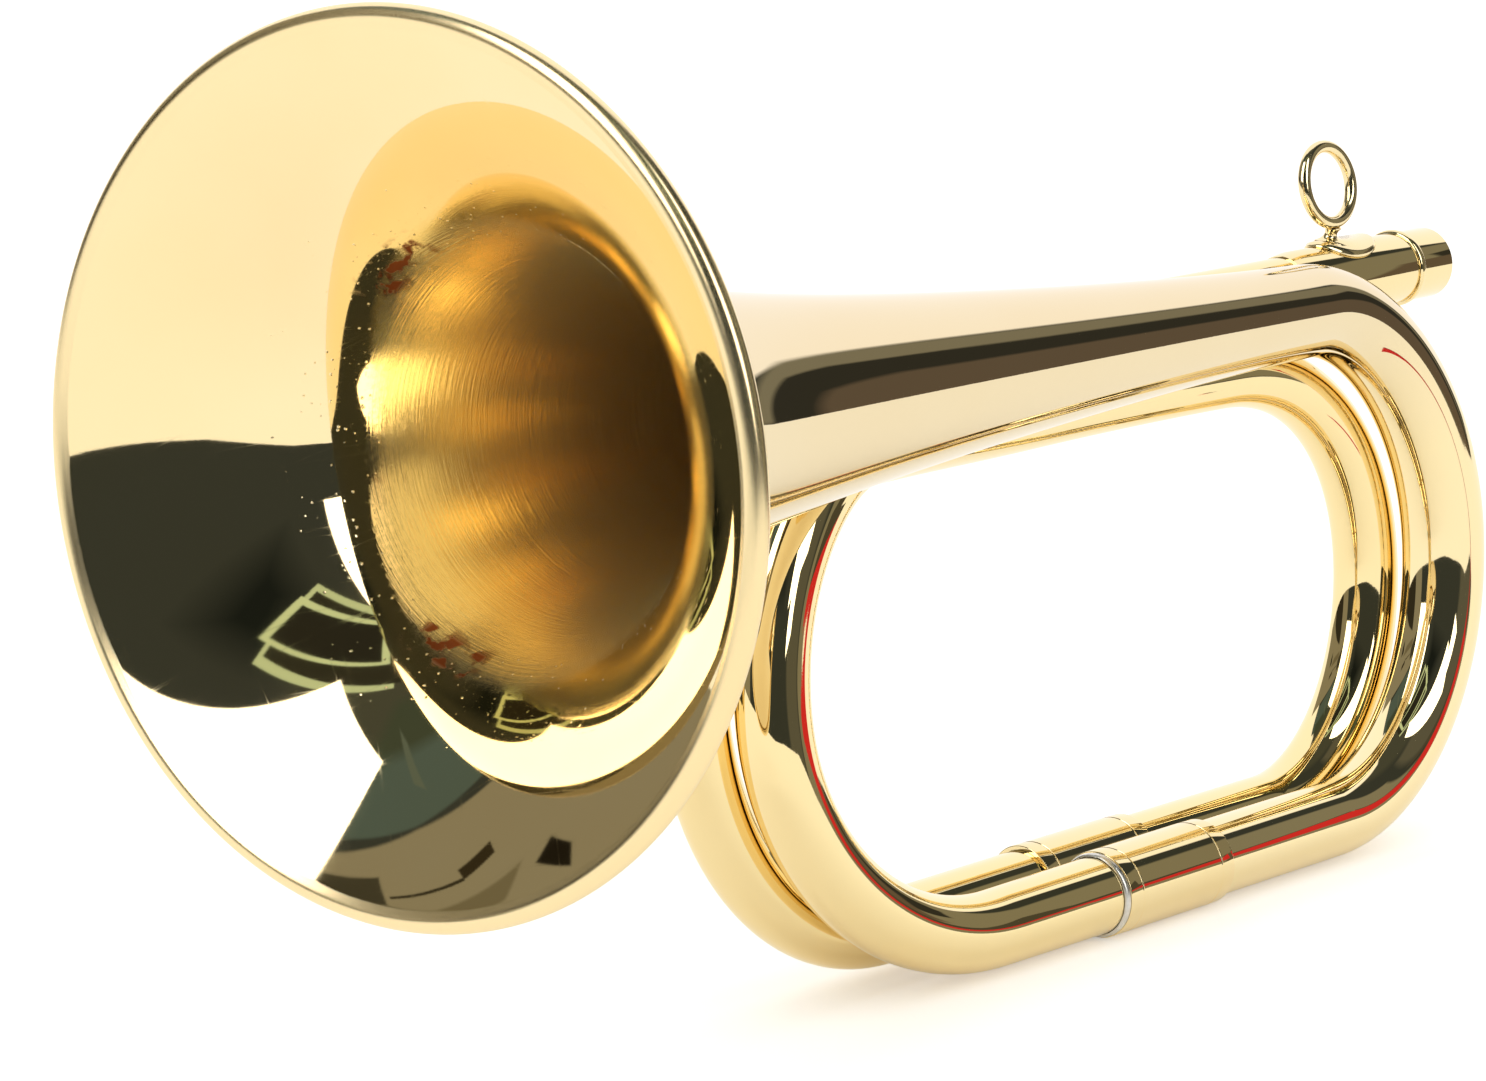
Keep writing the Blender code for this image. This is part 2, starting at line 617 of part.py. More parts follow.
def carry_to_base(carrier):
    """Moves the whole bugle so that its box stands centred on the origin."""
    bpy.context.view_layer.update()
    corners = []
    for piece in carrier.children:
        corners += [piece.matrix_world @ vertex.co for vertex in piece.data.vertices]
    low = [min(corner[i] for corner in corners) for i in range(3)]
    high = [max(corner[i] for corner in corners) for i in range(3)]
    carrier.location = (-(low[0] + high[0]) / 2, -(low[1] + high[1]) / 2, -low[2])
    bpy.context.view_layer.update()
    print("bugle carried by", [round(value / MM, 3) for value in carrier.location], "mm")


def build():
    for old in list(bpy.context.scene.objects):
        bpy.data.objects.remove(old, do_unlink=True)
    bugle = bpy.data.objects.new("bugle", None)
    bpy.context.scene.collection.objects.link(bugle)
    make_flare(bugle)
    make_rim_wire(bugle)
    make_bell_branch(bugle)
    make_middle_branch(bugle)
    make_mouthpipe(bugle)
    make_ferrule("near_ferrule", Vector((NEAR_FERRULE_X, 0.0, 0.0)), NEAR_BOTTOM_RADIUS, bugle)
    make_ferrule("far_ferrule", Vector((FAR_FERRULE_X, FAR_PLANE_Y, 0.0)), FAR_BOTTOM_RADIUS, bugle)
    make_solder_collar(bugle)
    make_receiver(bugle)
    make_receiver_ring(bugle)
    make_saddle(bugle)
    make_lanyard_ring(bugle)
    make_solder("top_solder", bell_stem_at, mouthpipe_at, TOP_SOLDER_SPAN, 1, bugle)
    make_solder("middle_solder", middle_run_at, mouthpipe_at, MIDDLE_SOLDER_SPAN, -1, bugle)
    make_solder("ferrule_solder", near_ferrule_at, far_ferrule_at, FERRULE_SOLDER_SPAN, 1, bugle)
    carry_to_base(bugle)


build()
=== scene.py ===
import math

import bpy
from mathutils import Matrix, Vector


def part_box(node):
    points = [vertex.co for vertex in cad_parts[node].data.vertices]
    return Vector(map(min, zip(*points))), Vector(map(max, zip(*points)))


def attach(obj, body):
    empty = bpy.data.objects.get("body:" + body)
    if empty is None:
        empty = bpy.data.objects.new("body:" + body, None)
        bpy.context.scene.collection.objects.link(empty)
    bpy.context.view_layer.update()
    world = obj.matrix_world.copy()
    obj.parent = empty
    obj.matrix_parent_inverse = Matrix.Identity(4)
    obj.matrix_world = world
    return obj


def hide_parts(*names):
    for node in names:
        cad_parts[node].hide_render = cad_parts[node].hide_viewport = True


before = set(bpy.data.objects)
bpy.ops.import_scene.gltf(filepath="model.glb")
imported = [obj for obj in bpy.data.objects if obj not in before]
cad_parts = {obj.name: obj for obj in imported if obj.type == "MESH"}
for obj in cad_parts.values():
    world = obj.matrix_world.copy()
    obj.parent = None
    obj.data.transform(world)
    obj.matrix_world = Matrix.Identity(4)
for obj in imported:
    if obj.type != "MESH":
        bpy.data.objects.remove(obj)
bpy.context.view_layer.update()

mm = 0.001
axisX = Vector((1.0, 0.0, 0.0))
axisY = Vector((0.0, 1.0, 0.0))
axisZ = Vector((0.0, 0.0, 1.0))
clearance = 0.3 * mm      # between pieces that touch, as in the frame
bedding = 0.02 * mm       # between a sleeve or ring and the tube that it sits on
mixA, mixB = 6, 7         # the sockets of a colour Mix node

nearFerruleX = 174.1      # mm from the start of the near bottom tube's axis
ferruleLow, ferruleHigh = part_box("near_ferrule")
nearTubeStart = (ferruleLow + ferruleHigh) / 2 - Vector((nearFerruleX, 0.0, 0.0)) * mm


def at(x, y, z):
    # a place given in millimetres from the start of the near bottom tube's axis
    return nearTubeStart + Vector((x, y, z)) * mm


def linear(hexCode):
    # sRGB hex to the linear colour that a shader wants
    shades = []
    for i in (0, 2, 4):
        value = int(hexCode[i:i + 2], 16) / 255
        shades.append(value / 12.92 if value <= 0.04045 else ((value + 0.055) / 1.055) ** 2.4)
    return (*shades, 1.0)


def feed(tree, node, inputs):
    # each input is a value, a socket, or a node, which stands for the first of its outputs in use
    for name, value in inputs.items():
        if isinstance(value, bpy.types.Node):
            value = next(socket for socket in value.outputs if socket.enabled)
        if isinstance(value, bpy.types.NodeSocket):
            tree.links.new(value, node.inputs[name])
        else:
            node.inputs[name].default_value = value


def addNode(tree, kind, inputs=None, **settings):
    node = tree.nodes.new(kind)
    for name, value in settings.items():
        setattr(node, name, value)
    feed(tree, node, inputs or {})
    return node


def chain(tree, operation, values):
    # works one sum through a list: of masks, MULTIPLY keeps what all share, MAXIMUM what any has
    result = values[0]
    for value in values[1:]:
        result = addNode(tree, "ShaderNodeMath", {0: result, 1: value}, operation=operation)
    return result


def newMaterial(name):
    material = bpy.data.materials.new(name)
    material.use_nodes = True
    tree = material.node_tree
    return material, tree, tree.nodes["Principled BSDF"]


def addObject(name, data):
    thing = bpy.data.objects.new(name, data)
    bpy.context.scene.collection.objects.link(thing)
    return thing


def keepPiece(piece, cadNode):
    # the piece rides on the only body and stands for the frame's plain solid
    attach(piece, "root")
    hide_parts(cadNode)


def evenly(start, end, count):
    return [start + (end - start) * i / (count - 1) for i in range(count)]


def ringOf(centre, up, side, radius, count):
    # points evenly round a circle, from its top towards its side
    turns = [2 * math.pi * k / count for k in range(count)]
    return [centre + (up * math.cos(turn) + side * math.sin(turn)) * radius for turn in turns]


def arc(along, radius, length, rise, start, end, steps):
    # an ellipse's arc in an outline: quarter 0 is back along the axis, 1 is outwards, 2 is forward
    points = []
    for quarter in evenly(start, end, steps + 1):
        turn = math.pi / 2 * quarter
        points.append((along - length * math.cos(turn), radius + rise * math.sin(turn)))
    return points


polish = {
    "tone": "FFECBC",             # yellow brass, buffed to a mirror and lacquered
    "toneWarm": "FEE4AC",
    "toneSize": 30.0,             # mm from one warmer patch to the next
    "roughness": 0.028,
    "smear": 0.03,                # added where fingers and cloth left a film
    "smearSize": 18.0,            # mm
    "smearNoise": (0.5, 0.75),    # where in the noise the film begins and is whole
    "peelSize": 5.0,              # mm between the shallow waves that buffing leaves
    "peelDepth": 0.0013,          # mm
    "hairSize": 0.25,             # mm, hairline scratches, drawn coarser than real ones so that they show
    "hairDepth": 0.0004,          # mm
    "hairWay": (0.3, 0.5, 0.9),   # radians, the way that the buffing ran
    "hairStretch": 14.0,          # how much longer than wide they are
}


def polishedBrass(name, **changes):
    # buffed yellow brass: mirror reflections, a slow waver in them, and faint hairlines along the buffing
    look = {**polish, **changes}
    material, tree, shader = newMaterial(name)
    place = addNode(tree, "ShaderNodeTexCoord").outputs["Object"]
    patches = addNode(tree, "ShaderNodeTexNoise",
                      {"Vector": place, "Scale": 1000 / look["toneSize"], "Detail": 3.0})
    tone = addNode(tree, "ShaderNodeMix", {"Factor": patches, mixA: linear(look["tone"]),
                                           mixB: linear(look["toneWarm"])}, data_type="RGBA")
    smear = addNode(tree, "ShaderNodeTexNoise",
                    {"Vector": place, "Scale": 1000 / look["smearSize"], "Detail": 5.0, "Roughness": 0.6})
    thin, thick = look["smearNoise"]
    rough = addNode(tree, "ShaderNodeMapRange",
                    {"Value": smear, "From Min": thin, "From Max": thick,
                     "To Min": look["roughness"], "To Max": look["roughness"] + look["smear"]})
    peel = addNode(tree, "ShaderNodeTexNoise",
                   {"Vector": place, "Scale": 1000 / look["peelSize"], "Detail": 1.0})
    wave = addNode(tree, "ShaderNodeBump", {"Height": peel, "Distance": look["peelDepth"] * mm})
    stretch = look["hairStretch"]
    drawn = addNode(tree, "ShaderNodeMapping",
                    {"Vector": place, "Rotation": look["hairWay"], "Scale": (1.0, stretch, stretch)})
    hairs = addNode(tree, "ShaderNodeTexNoise",
                    {"Vector": drawn, "Scale": 1000 / look["hairSize"] / stretch, "Detail": 2.0})
    grooves = addNode(tree, "ShaderNodeBump",
                      {"Height": hairs, "Normal": wave, "Distance": look["hairDepth"] * mm})
    feed(tree, shader, {"Base Color": tone, "Roughness": rough, "Normal": grooves, "Metallic": 1.0})
    return material


def newTree(name, inputs):
    tree = bpy.data.node_groups.new(name, "GeometryNodeTree")
    for label, kind in {"Geometry": "Geometry", **inputs}.items():
        tree.interface.new_socket(label, in_out="INPUT", socket_type="NodeSocket" + kind)
    tree.interface.new_socket("Geometry", in_out="OUTPUT", socket_type="NodeSocketGeometry")
    return tree, addNode(tree, "NodeGroupInput").outputs


def sweepCircle(tree, given, capped):
    # a circle swept along the given path, as wide as the path says
    path = addNode(tree, "GeometryNodeSetCurveNormal", {"Curve": given["Geometry"]}, mode="MINIMUM_TWIST")
    circle = addNode(tree, "GeometryNodeCurvePrimitiveCircle", {"Resolution": given["Sides"], "Radius": 1.0})
    width = addNode(tree, "GeometryNodeInputRadius")
    return addNode(tree, "GeometryNodeCurveToMesh",
                   {"Curve": path, "Profile Curve": circle, "Scale": width, "Fill Caps": capped})


def endTree(tree, shape, finish):
    real = addNode(tree, "GeometryNodeRealizeInstances", {"Geometry": shape})
    painted = addNode(tree, "GeometryNodeSetMaterial", {"Geometry": real, "Material": finish})
    addNode(tree, "NodeGroupOutput", {"Geometry": painted})
    return tree


def drawnTubeTree():
    # a tube drawn along a path, with a wall turned inwards
    tree, given = newTree("drawnTube", {"Sides": "Int", "Wall": "Float", "Outside": "Material",
                                        "Bore": "Material"})
    skin = sweepCircle(tree, given, False)
    depth = addNode(tree, "ShaderNodeMath", {0: given["Wall"], 1: -1.0}, operation="MULTIPLY")
    wall = addNode(tree, "GeometryNodeExtrudeMesh",
                   {"Mesh": skin, "Offset Scale": depth, "Individual": False}, mode="FACES")
    inward = addNode(tree, "GeometryNodeFlipFaces", {"Mesh": wall})
    both = addNode(tree, "GeometryNodeJoinGeometry")
    for mesh, finish in ((skin, "Outside"), (inward, "Bore")):
        painted = addNode(tree, "GeometryNodeSetMaterial", {"Geometry": mesh, "Material": given[finish]})
        feed(tree, both, {0: painted})
    joined = addNode(tree, "GeometryNodeMergeByDistance", {"Geometry": both, "Distance": 0.001 * mm})
    real = addNode(tree, "GeometryNodeRealizeInstances", {"Geometry": joined})
    addNode(tree, "NodeGroupOutput", {"Geometry": real})
    return tree


def beadTree():
    # a round bead along a path, its ends closed
    tree, given = newTree("roundBead", {"Sides": "Int", "Finish": "Material"})
    return endTree(tree, sweepCircle(tree, given, True), given["Finish"])


def spunTree():
    # a closed outline turned round the Z axis, as a lathe or spinning chuck does
    tree, given = newTree("spunShape", {"Sides": "Int", "Chuck Radius": "Float", "Finish": "Material"})
    chuck = addNode(tree, "GeometryNodeCurvePrimitiveCircle",
                    {"Resolution": given["Sides"], "Radius": given["Chuck Radius"]})
    skin = addNode(tree, "GeometryNodeCurveToMesh", {"Curve": chuck, "Profile Curve": given["Geometry"]})
    return endTree(tree, skin, given["Finish"])


drawnTube = drawnTubeTree()
roundBead = beadTree()
spunShape = spunTree()
chuckRadius = 1.0 * mm
plainCrease = 32.0        # degrees, past which a turned edge is sharp


def lineObject(name, points, radii, closed=False):
    line = bpy.data.curves.new(name + "Path", "CURVE")
    line.dimensions = "3D"
    spline = line.splines.new("POLY")
    spline.points.add(len(points) - 1)
    for point, place, radius in zip(spline.points, points, radii):
        point.co = (*place, 1.0)
        point.radius = radius
    spline.use_cyclic_u = closed
    return addObject(name + "Path", line)


def grow(name, holder, tree, sizes, crease=plainCrease):
    # runs a tree on a path, keeps the result as a plain mesh and removes the path
    modifier = holder.modifiers.new(tree.name, "NODES")
    modifier.node_group = tree
    for item in tree.interface.items_tree:
        if item.in_out == "INPUT" and item.name in sizes:
            modifier[item.identifier] = sizes[item.name]
    bpy.context.view_layer.update()
    graph = bpy.context.evaluated_depsgraph_get()
    mesh = bpy.data.meshes.new_from_object(holder.evaluated_get(graph))
    mesh.name = name
    bpy.data.objects.remove(holder, do_unlink=True)
    mesh.shade_smooth()
    mesh.set_sharp_from_angle(angle=math.radians(crease))
    return addObject(name, mesh)


def drawTube(name, points, radii, sides, wall, outside, bore):
    holder = lineObject(name, points, radii)
    return grow(name, holder, drawnTube, {"Sides": sides, "Wall": wall, "Outside": outside, "Bore": bore})


def drawBead(name, points, radius, sides, finish):
    # a bead of one thickness, closed into a ring
    holder = lineObject(name, points, [radius] * len(points), closed=True)
    return grow(name, holder, roundBead, {"Sides": sides, "Finish": finish})


def spin(name, outline, origin, axis, sides, finish, crease=plainCrease):
    # outline is closed, of (along, radius) pairs in metres, and is turned the way that faces it outwards
    if sum(a[0] * b[1] - a[1] * b[0] for a, b in zip(outline, outline[1:] + outline[:1])) < 0:
        outline = outline[::-1]
    points = [(radius - chuckRadius, -along, 0.0) for along, radius in outline]
    holder = lineObject(name, points, [1.0] * len(points), closed=True)
    piece = grow(name, holder, spunShape, {"Sides": sides, "Chuck Radius": chuckRadius, "Finish": finish},
                 crease)
    turn = axisZ.rotation_difference(axis.normalized()).to_matrix().to_4x4()
    piece.data.transform(Matrix.Translation(origin) @ turn)
    return piece


curveHandle = 0.5523      # handle of a Bezier quarter ellipse, as a share of its half axis
bowSteps = 48


def bezier(start, startWay, end, endWay, steps):
    first = start + startWay
    second = end - endWay
    points = []
    for i in range(1, steps + 1):
        t = i / steps
        s = 1 - t
        points.append(start * s**3 + first * (3 * s * s * t) + second * (3 * s * t * t) + end * t**3)
    return points


def bow(first, firstWay, apexX, last, lastWay):
    # two quarter ellipses from first, round the bow's furthest X, to last
    apex = Vector((apexX, (first.y + last.y) / 2, (first.z + last.z) / 2))
    climb = last - first
    climb.x = 0.0
    climb *= 0.5 * curveHandle
    points = bezier(first, firstWay * abs(apexX - first.x) * curveHandle, apex, climb, bowSteps)
    return points + bezier(apex, climb, last, lastWay * abs(apexX - last.x) * curveHandle, bowSteps)


bell = {
    "rimCentre": at(-1.7, -13.04, 90.86),
    "tail": at(220.9, 5.0, 83.5),     # where the bow meets the bell's taper
    "rimRadius": 59.94 * mm,
    "beadRadius": 1.67 * mm,
    "beadDepth": 1.7 * mm,
    "sheet": 0.5 * mm,
    "wireRadius": 0.85 * mm,
    "sheetAngle": math.radians(27),   # between the sheet and the rim's plane, where the roll begins
    "rollSweep": math.radians(285),
    "seamDepth": 25.6 * mm,
    "seamGap": 0.002 * mm,
    "scaleDepth": 21.0 * mm,          # the depth in which the flare falls to a third, and how sharply
    "sharpness": 0.97,
    "tailRadius": 7.6 * mm,
    "mouthSwell": 14.0 * mm,          # what the stem's taper would add at the rim, and how it grows
    "stemPower": 1.42,
    "sides": 224,
    "wireSides": 16,
    "stemSides": 128,
    "flareSteps": 84,
    "rollSteps": 44,
    "stemSteps": 150,
    "crowding": 1.5,                  # power that crowds these steps towards the rim
}
bellAxis = (bell["tail"] - bell["rimCentre"]).normalized()
bellLength = (bell["tail"] - bell["rimCentre"]).length


def stemRadius(depth):
    share = max(0.0, 1 - depth / bellLength)
    return bell["tailRadius"] + bell["mouthSwell"] * share ** bell["stemPower"]


def rollPoint(share, radius):
    angle = bell["sheetAngle"] + math.pi - share * bell["rollSweep"]
    return (bell["beadDepth"] + radius * math.cos(angle),
            bell["rimRadius"] - bell["beadRadius"] + radius * math.sin(angle))


def flareFall(depth):
    return math.exp(-((depth / bell["scaleDepth"]) ** bell["sharpness"]))


rollStart = rollPoint(0.0, bell["beadRadius"] - bell["sheet"])
flareRise = (rollStart[1] - stemRadius(rollStart[0])) / flareFall(rollStart[0])


def bellRadius(depth):
    return stemRadius(depth) + flareRise * flareFall(depth)


def bellWall(depth):
    # the inner skin's point, straight in from the outer skin
    small = 0.01 * mm
    slope = (bellRadius(depth + small) - bellRadius(depth - small)) / (2 * small)
    length = math.hypot(1.0, slope)
    return depth + slope / length * bell["sheet"], bellRadius(depth) - bell["sheet"] / length


stem = {
    "tone": "EEDDB8",         # paler and greyer than the bow below it
    "toneWarm": "ECD8AE",
    "toneLow": "FCE8B6",      # the bow's, which it goes over to low down
    "low": 30.0,              # mm up, where the bow's tone is whole
    "high": 58.0,             # and where the stem's is
    "lean": 0.3,              # how much higher both lie for each mm along X
}


# the stem's tone by height: the bow's tone low down, going over to a paler, greyer one higher up
def stemLacquer(name):
    material = polishedBrass(name, tone=stem["tone"], toneWarm=stem["toneWarm"])
    tree = material.node_tree
    shader = tree.nodes["Principled BSDF"]
    place = addNode(tree, "ShaderNodeTexCoord").outputs["Object"]
    spot = addNode(tree, "ShaderNodeSeparateXYZ", {"Vector": place}).outputs
    height = addNode(tree, "ShaderNodeMath", {0: spot["X"], 1: -stem["lean"], 2: spot["Z"]},
                     operation="MULTIPLY_ADD")
    raised = addNode(tree, "ShaderNodeMapRange",
                     {"Value": height, "From Min": stem["low"] * mm, "From Max": stem["high"] * mm})
    tone = addNode(tree, "ShaderNodeMix", {"Factor": raised, mixA: linear(stem["toneLow"]),
                                           mixB: shader.inputs["Base Color"].links[0].from_socket},
                   data_type="RGBA")
    feed(tree, shader, {"Base Color": tone})
    return material


stemBrass = stemLacquer("buffedStemBrass")
# drawn tube, and sleeves turned on a lathe, buffed as the bell is: the same mirror, a little warmer
tubeBrass = polishedBrass("buffedTubeBrass", tone="FDE9B4", toneWarm="FBE3A8")
sleeveBrass = polishedBrass("buffedSleeveBrass", tone="FBE8B6", toneWarm="F8E0A8")
# small cast and bent fittings, which the wheel reaches less well: softer reflections
fittingBrass = polishedBrass("buffedFittingBrass", tone="FCEBC0", toneWarm="F6DFA8", roughness=0.1)

throat = {
    "tone": "F8E0A0",             # bare brass inside the horn, toned by heat and air
    "toneDark": "C4914C",
    "metal": 0.88,                # the rest is a dull film that scatters the light
    "roughness": 0.12,
    "polishEnd": 30.0,            # mm behind the rim, where the buffing wheel stops at the sides
    "polishEarlier": 6.0,         # and this much sooner at the top and bottom
    "polishFade": 1.6,            # mm to each side of that edge
    "polishUneven": 3.0,          # mm that the edge wanders, in patches of the size below
    "grainSize": 2 / 3,
    "ringSize": 0.4,              # mm between the rings that the spinning tool leaves
    "ringDepth": 0.045,
    "ringTurn": 1.5,              # how much a ring changes in its way round the bell
    "beadBand": (3.4, 3.1),       # mm inside the rim's edge, where the rolled edge begins
    "beadRings": 0.35,            # wiped with abrasive cloth, not buffed, so it shows some rings too
    "beadRough": 0.2,
    "patinaSize": 40 / 3,         # mm
    "patinaNoise": (0.62, 1.2),   # where in the noise of patina and rings it begins and is whole
    "copper": "96522E",           # blotches that the torch left along the brazed seam
    "blotchSize": 100 / 33,       # mm
    "blotchNoise": (0.5, 0.58),   # where in its noise a blotch begins and is whole
    "burns": (50, -68, 158),      # degrees round the bell
    "burnReach": (13, 9),         # degrees to each side, where a burn begins and is whole
    "burnRough": 0.3,
    "pitSize": 1.1,               # mm between pits in the lacquer
    "pitEdge": (0.22, 0.1),       # of that size, from a pit's middle to its edge and to its floor
    "pitChance": (0.55, 0.6),     # a cell's own number, past which it holds a pit
    "pitDepth": 0.012,            # mm
    "pitRough": 0.3,
    "scratches": (35, -52, 12),   # degrees, the ways that the flare has been wiped
    "scratchSize": (50 / 3, 200 / 9, 5 / 12),     # mm, long and thin
    "scratchNoise": (0.68, 0.74),
    "scratchRough": 0.035,
    # mm behind the rim, where each begins to show and where it is whole
    "depths": {"pits": (-4, 27), "lip": (33, 28), "patina": (40, 125), "seam": (21.5, 23.5),
               "seamEnd": (29, 27)},
}


def hornBrass(name):
    # one look from the rolled edge to the bore: satin bead, buffed flare, pitted lip, ringed satin throat
    material = polishedBrass(name)
    tree = material.node_tree
    shader = tree.nodes["Principled BSDF"]
    polished = {key: shader.inputs[key].links[0].from_socket for key in ("Base Color", "Roughness", "Normal")}
    place = addNode(tree, "ShaderNodeTexCoord").outputs["Object"]
    moved = addNode(tree, "ShaderNodeVectorMath", {0: place, 1: bell["rimCentre"]}, operation="SUBTRACT")
    inBell = addNode(tree, "ShaderNodeMapping",
                     {"Vector": moved, "Rotation": bellAxis.rotation_difference(axisX).to_euler()})
    parts = addNode(tree, "ShaderNodeSeparateXYZ", {"Vector": inBell}).outputs
    depth = parts["X"]
    away = addNode(tree, "ShaderNodeCombineXYZ", {"X": 0.0, "Y": parts["Y"], "Z": parts["Z"]})
    reach = addNode(tree, "ShaderNodeVectorMath", {0: away}, operation="LENGTH")
    facing = addNode(tree, "ShaderNodeVectorMath", {0: away}, operation="NORMALIZE")
    upward = addNode(tree, "ShaderNodeSeparateXYZ", {"Vector": facing}).outputs["Z"]
    shown = {}
    for part, (begins, whole) in throat["depths"].items():
        shown[part] = addNode(tree, "ShaderNodeMapRange",
                              {"Value": depth, "From Min": begins * mm, "From Max": whole * mm})

    # where the brass was left bare behind the buffing, and where the edge is rolled
    noises = {}
    for noise, detail in (("grain", 3.0), ("patina", 5.0), ("blotch", 3.0)):
        noises[noise] = addNode(tree, "ShaderNodeTexNoise",
                                {"Vector": place, "Scale": 1000 / throat[noise + "Size"], "Detail": detail})
    uneven = addNode(tree, "ShaderNodeMath", {0: noises["grain"], 1: throat["polishUneven"] * mm, 2: depth},
                     operation="MULTIPLY_ADD")
    upright = chain(tree, "MULTIPLY", [upward, upward])
    uneven = addNode(tree, "ShaderNodeMath", {0: upright, 1: throat["polishEarlier"] * mm, 2: uneven},
                     operation="MULTIPLY_ADD")
    end = (throat["polishEnd"] + throat["polishUneven"] / 2) * mm
    fade = throat["polishFade"] * mm
    bare = addNode(tree, "ShaderNodeMapRange",
                   {"Value": uneven, "From Min": end - fade, "From Max": end + fade})
    inner, outer = (bell["rimRadius"] - inset * mm for inset in throat["beadBand"])
    bead = addNode(tree, "ShaderNodeMapRange", {"Value": reach, "From Min": inner, "From Max": outer})

    # rings: noise drawn out round the axis
    ringScale = 1000 / throat["ringSize"]
    lane = addNode(tree, "ShaderNodeCombineXYZ", {"X": chain(tree, "MULTIPLY", [depth, ringScale]),
                                                  "Y": chain(tree, "MULTIPLY", [reach, ringScale])})
    track = addNode(tree, "ShaderNodeVectorMath",
                    {0: facing, 1: (0.0, throat["ringTurn"], throat["ringTurn"]), 2: lane},
                    operation="MULTIPLY_ADD")
    rings = addNode(tree, "ShaderNodeTexNoise",
                    {"Vector": track, "Scale": 1.0, "Detail": 4.0, "Roughness": 0.65})
    worked = chain(tree, "MAXIMUM", [bare, chain(tree, "MULTIPLY", [bead, throat["beadRings"]])])
    grooves = addNode(tree, "ShaderNodeBump", {"Height": rings, "Normal": polished["Normal"],
                                               "Strength": worked, "Distance": throat["ringDepth"] * mm})

    # pits, thicker towards the lip of the throat
    cells = addNode(tree, "ShaderNodeTexVoronoi", {"Vector": place, "Scale": 1000 / throat["pitSize"]})
    wide, narrow = throat["pitEdge"]
    pit = addNode(tree, "ShaderNodeMapRange",
                  {"Value": cells, "From Min": narrow, "From Max": wide, "To Min": 1.0, "To Max": 0.0})
    chance = addNode(tree, "ShaderNodeSeparateColor", {"Color": cells.outputs["Color"]}).outputs["Red"]
    rare, sure = throat["pitChance"]
    picked = addNode(tree, "ShaderNodeMapRange", {"Value": chain(tree, "MULTIPLY", [chance, shown["pits"]]),
                                                  "From Min": rare, "From Max": sure})
    pits = chain(tree, "MULTIPLY", [pit, picked, shown["lip"]])
    pitted = addNode(tree, "ShaderNodeBump",
                     {"Height": pits, "Normal": grooves, "Distance": throat["pitDepth"] * mm})

    # colour: patina deep in the throat, bare brass, then copper burns along the seam
    thin, thick = throat["patinaNoise"]
    streaks = addNode(tree, "ShaderNodeMapRange", {"Value": chain(tree, "ADD", [rings, noises["patina"]]),
                                                   "From Min": thin, "From Max": thick})
    deep = chain(tree, "MULTIPLY", [shown["patina"], streaks])
    tone = addNode(tree, "ShaderNodeMix", {"Factor": deep, mixA: linear(throat["tone"]),
                                           mixB: linear(throat["toneDark"])}, data_type="RGBA")
    colour = addNode(tree, "ShaderNodeMix", {"Factor": bare, mixA: polished["Base Color"], mixB: tone},
                     data_type="RGBA")
    closest = []
    for angle in throat["burns"]:
        aim = (0.0, math.cos(math.radians(angle)), math.sin(math.radians(angle)))
        closest.append(addNode(tree, "ShaderNodeVectorMath", {0: facing, 1: aim}, operation="DOT_PRODUCT"))
    far, close = (math.cos(math.radians(angle)) for angle in throat["burnReach"])
    burns = addNode(tree, "ShaderNodeMapRange",
                    {"Value": chain(tree, "MAXIMUM", closest), "From Min": far, "From Max": close})
    thin, thick = throat["blotchNoise"]
    blotches = addNode(tree, "ShaderNodeMapRange",
                       {"Value": noises["blotch"], "From Min": thin, "From Max": thick})
    seam = chain(tree, "MULTIPLY", [shown["seam"], shown["seamEnd"]])
    burnt = chain(tree, "MULTIPLY", [seam, burns, blotches])
    braze = addNode(tree, "ShaderNodeMix", {"Factor": burnt, mixA: colour, mixB: linear(throat["copper"])},
                    data_type="RGBA")

    # roughness: the roughest of satin, burns, pits and scratches, on top of the polish
    satin = chain(tree, "ADD", [chain(tree, "MULTIPLY", [bead, throat["beadRough"]]),
                                chain(tree, "MULTIPLY", [bare, throat["roughness"]])])
    dull = [satin, chain(tree, "MULTIPLY", [burnt, throat["burnRough"]]),
            chain(tree, "MULTIPLY", [pits, throat["pitRough"]])]
    thin, thick = throat["scratchNoise"]
    for angle in throat["scratches"]:
        turned = addNode(tree, "ShaderNodeVectorRotate", {"Vector": inBell, "Angle": math.radians(angle)},
                         rotation_type="X_AXIS")
        drawn = addNode(tree, "ShaderNodeVectorMath",
                        {0: turned, 1: [1000 / size for size in throat["scratchSize"]]}, operation="MULTIPLY")
        lines = addNode(tree, "ShaderNodeTexNoise", {"Vector": drawn, "Scale": 1.0, "Detail": 1.0})
        scratch = addNode(tree, "ShaderNodeMapRange", {"Value": lines, "From Min": thin, "From Max": thick})
        dull.append(chain(tree, "MULTIPLY", [scratch, throat["scratchRough"]]))
    rough = chain(tree, "ADD", [polished["Roughness"], chain(tree, "MAXIMUM", dull)])
    metal = addNode(tree, "ShaderNodeMapRange", {"Value": bare, "To Min": 1.0, "To Max": throat["metal"]})
    feed(tree, shader, {"Base Color": braze, "Roughness": rough, "Normal": pitted, "Metallic": metal})
    return material


flareBrass = hornBrass("buffedFlareBrass")
throatBrass = hornBrass("satinThroatBrass")

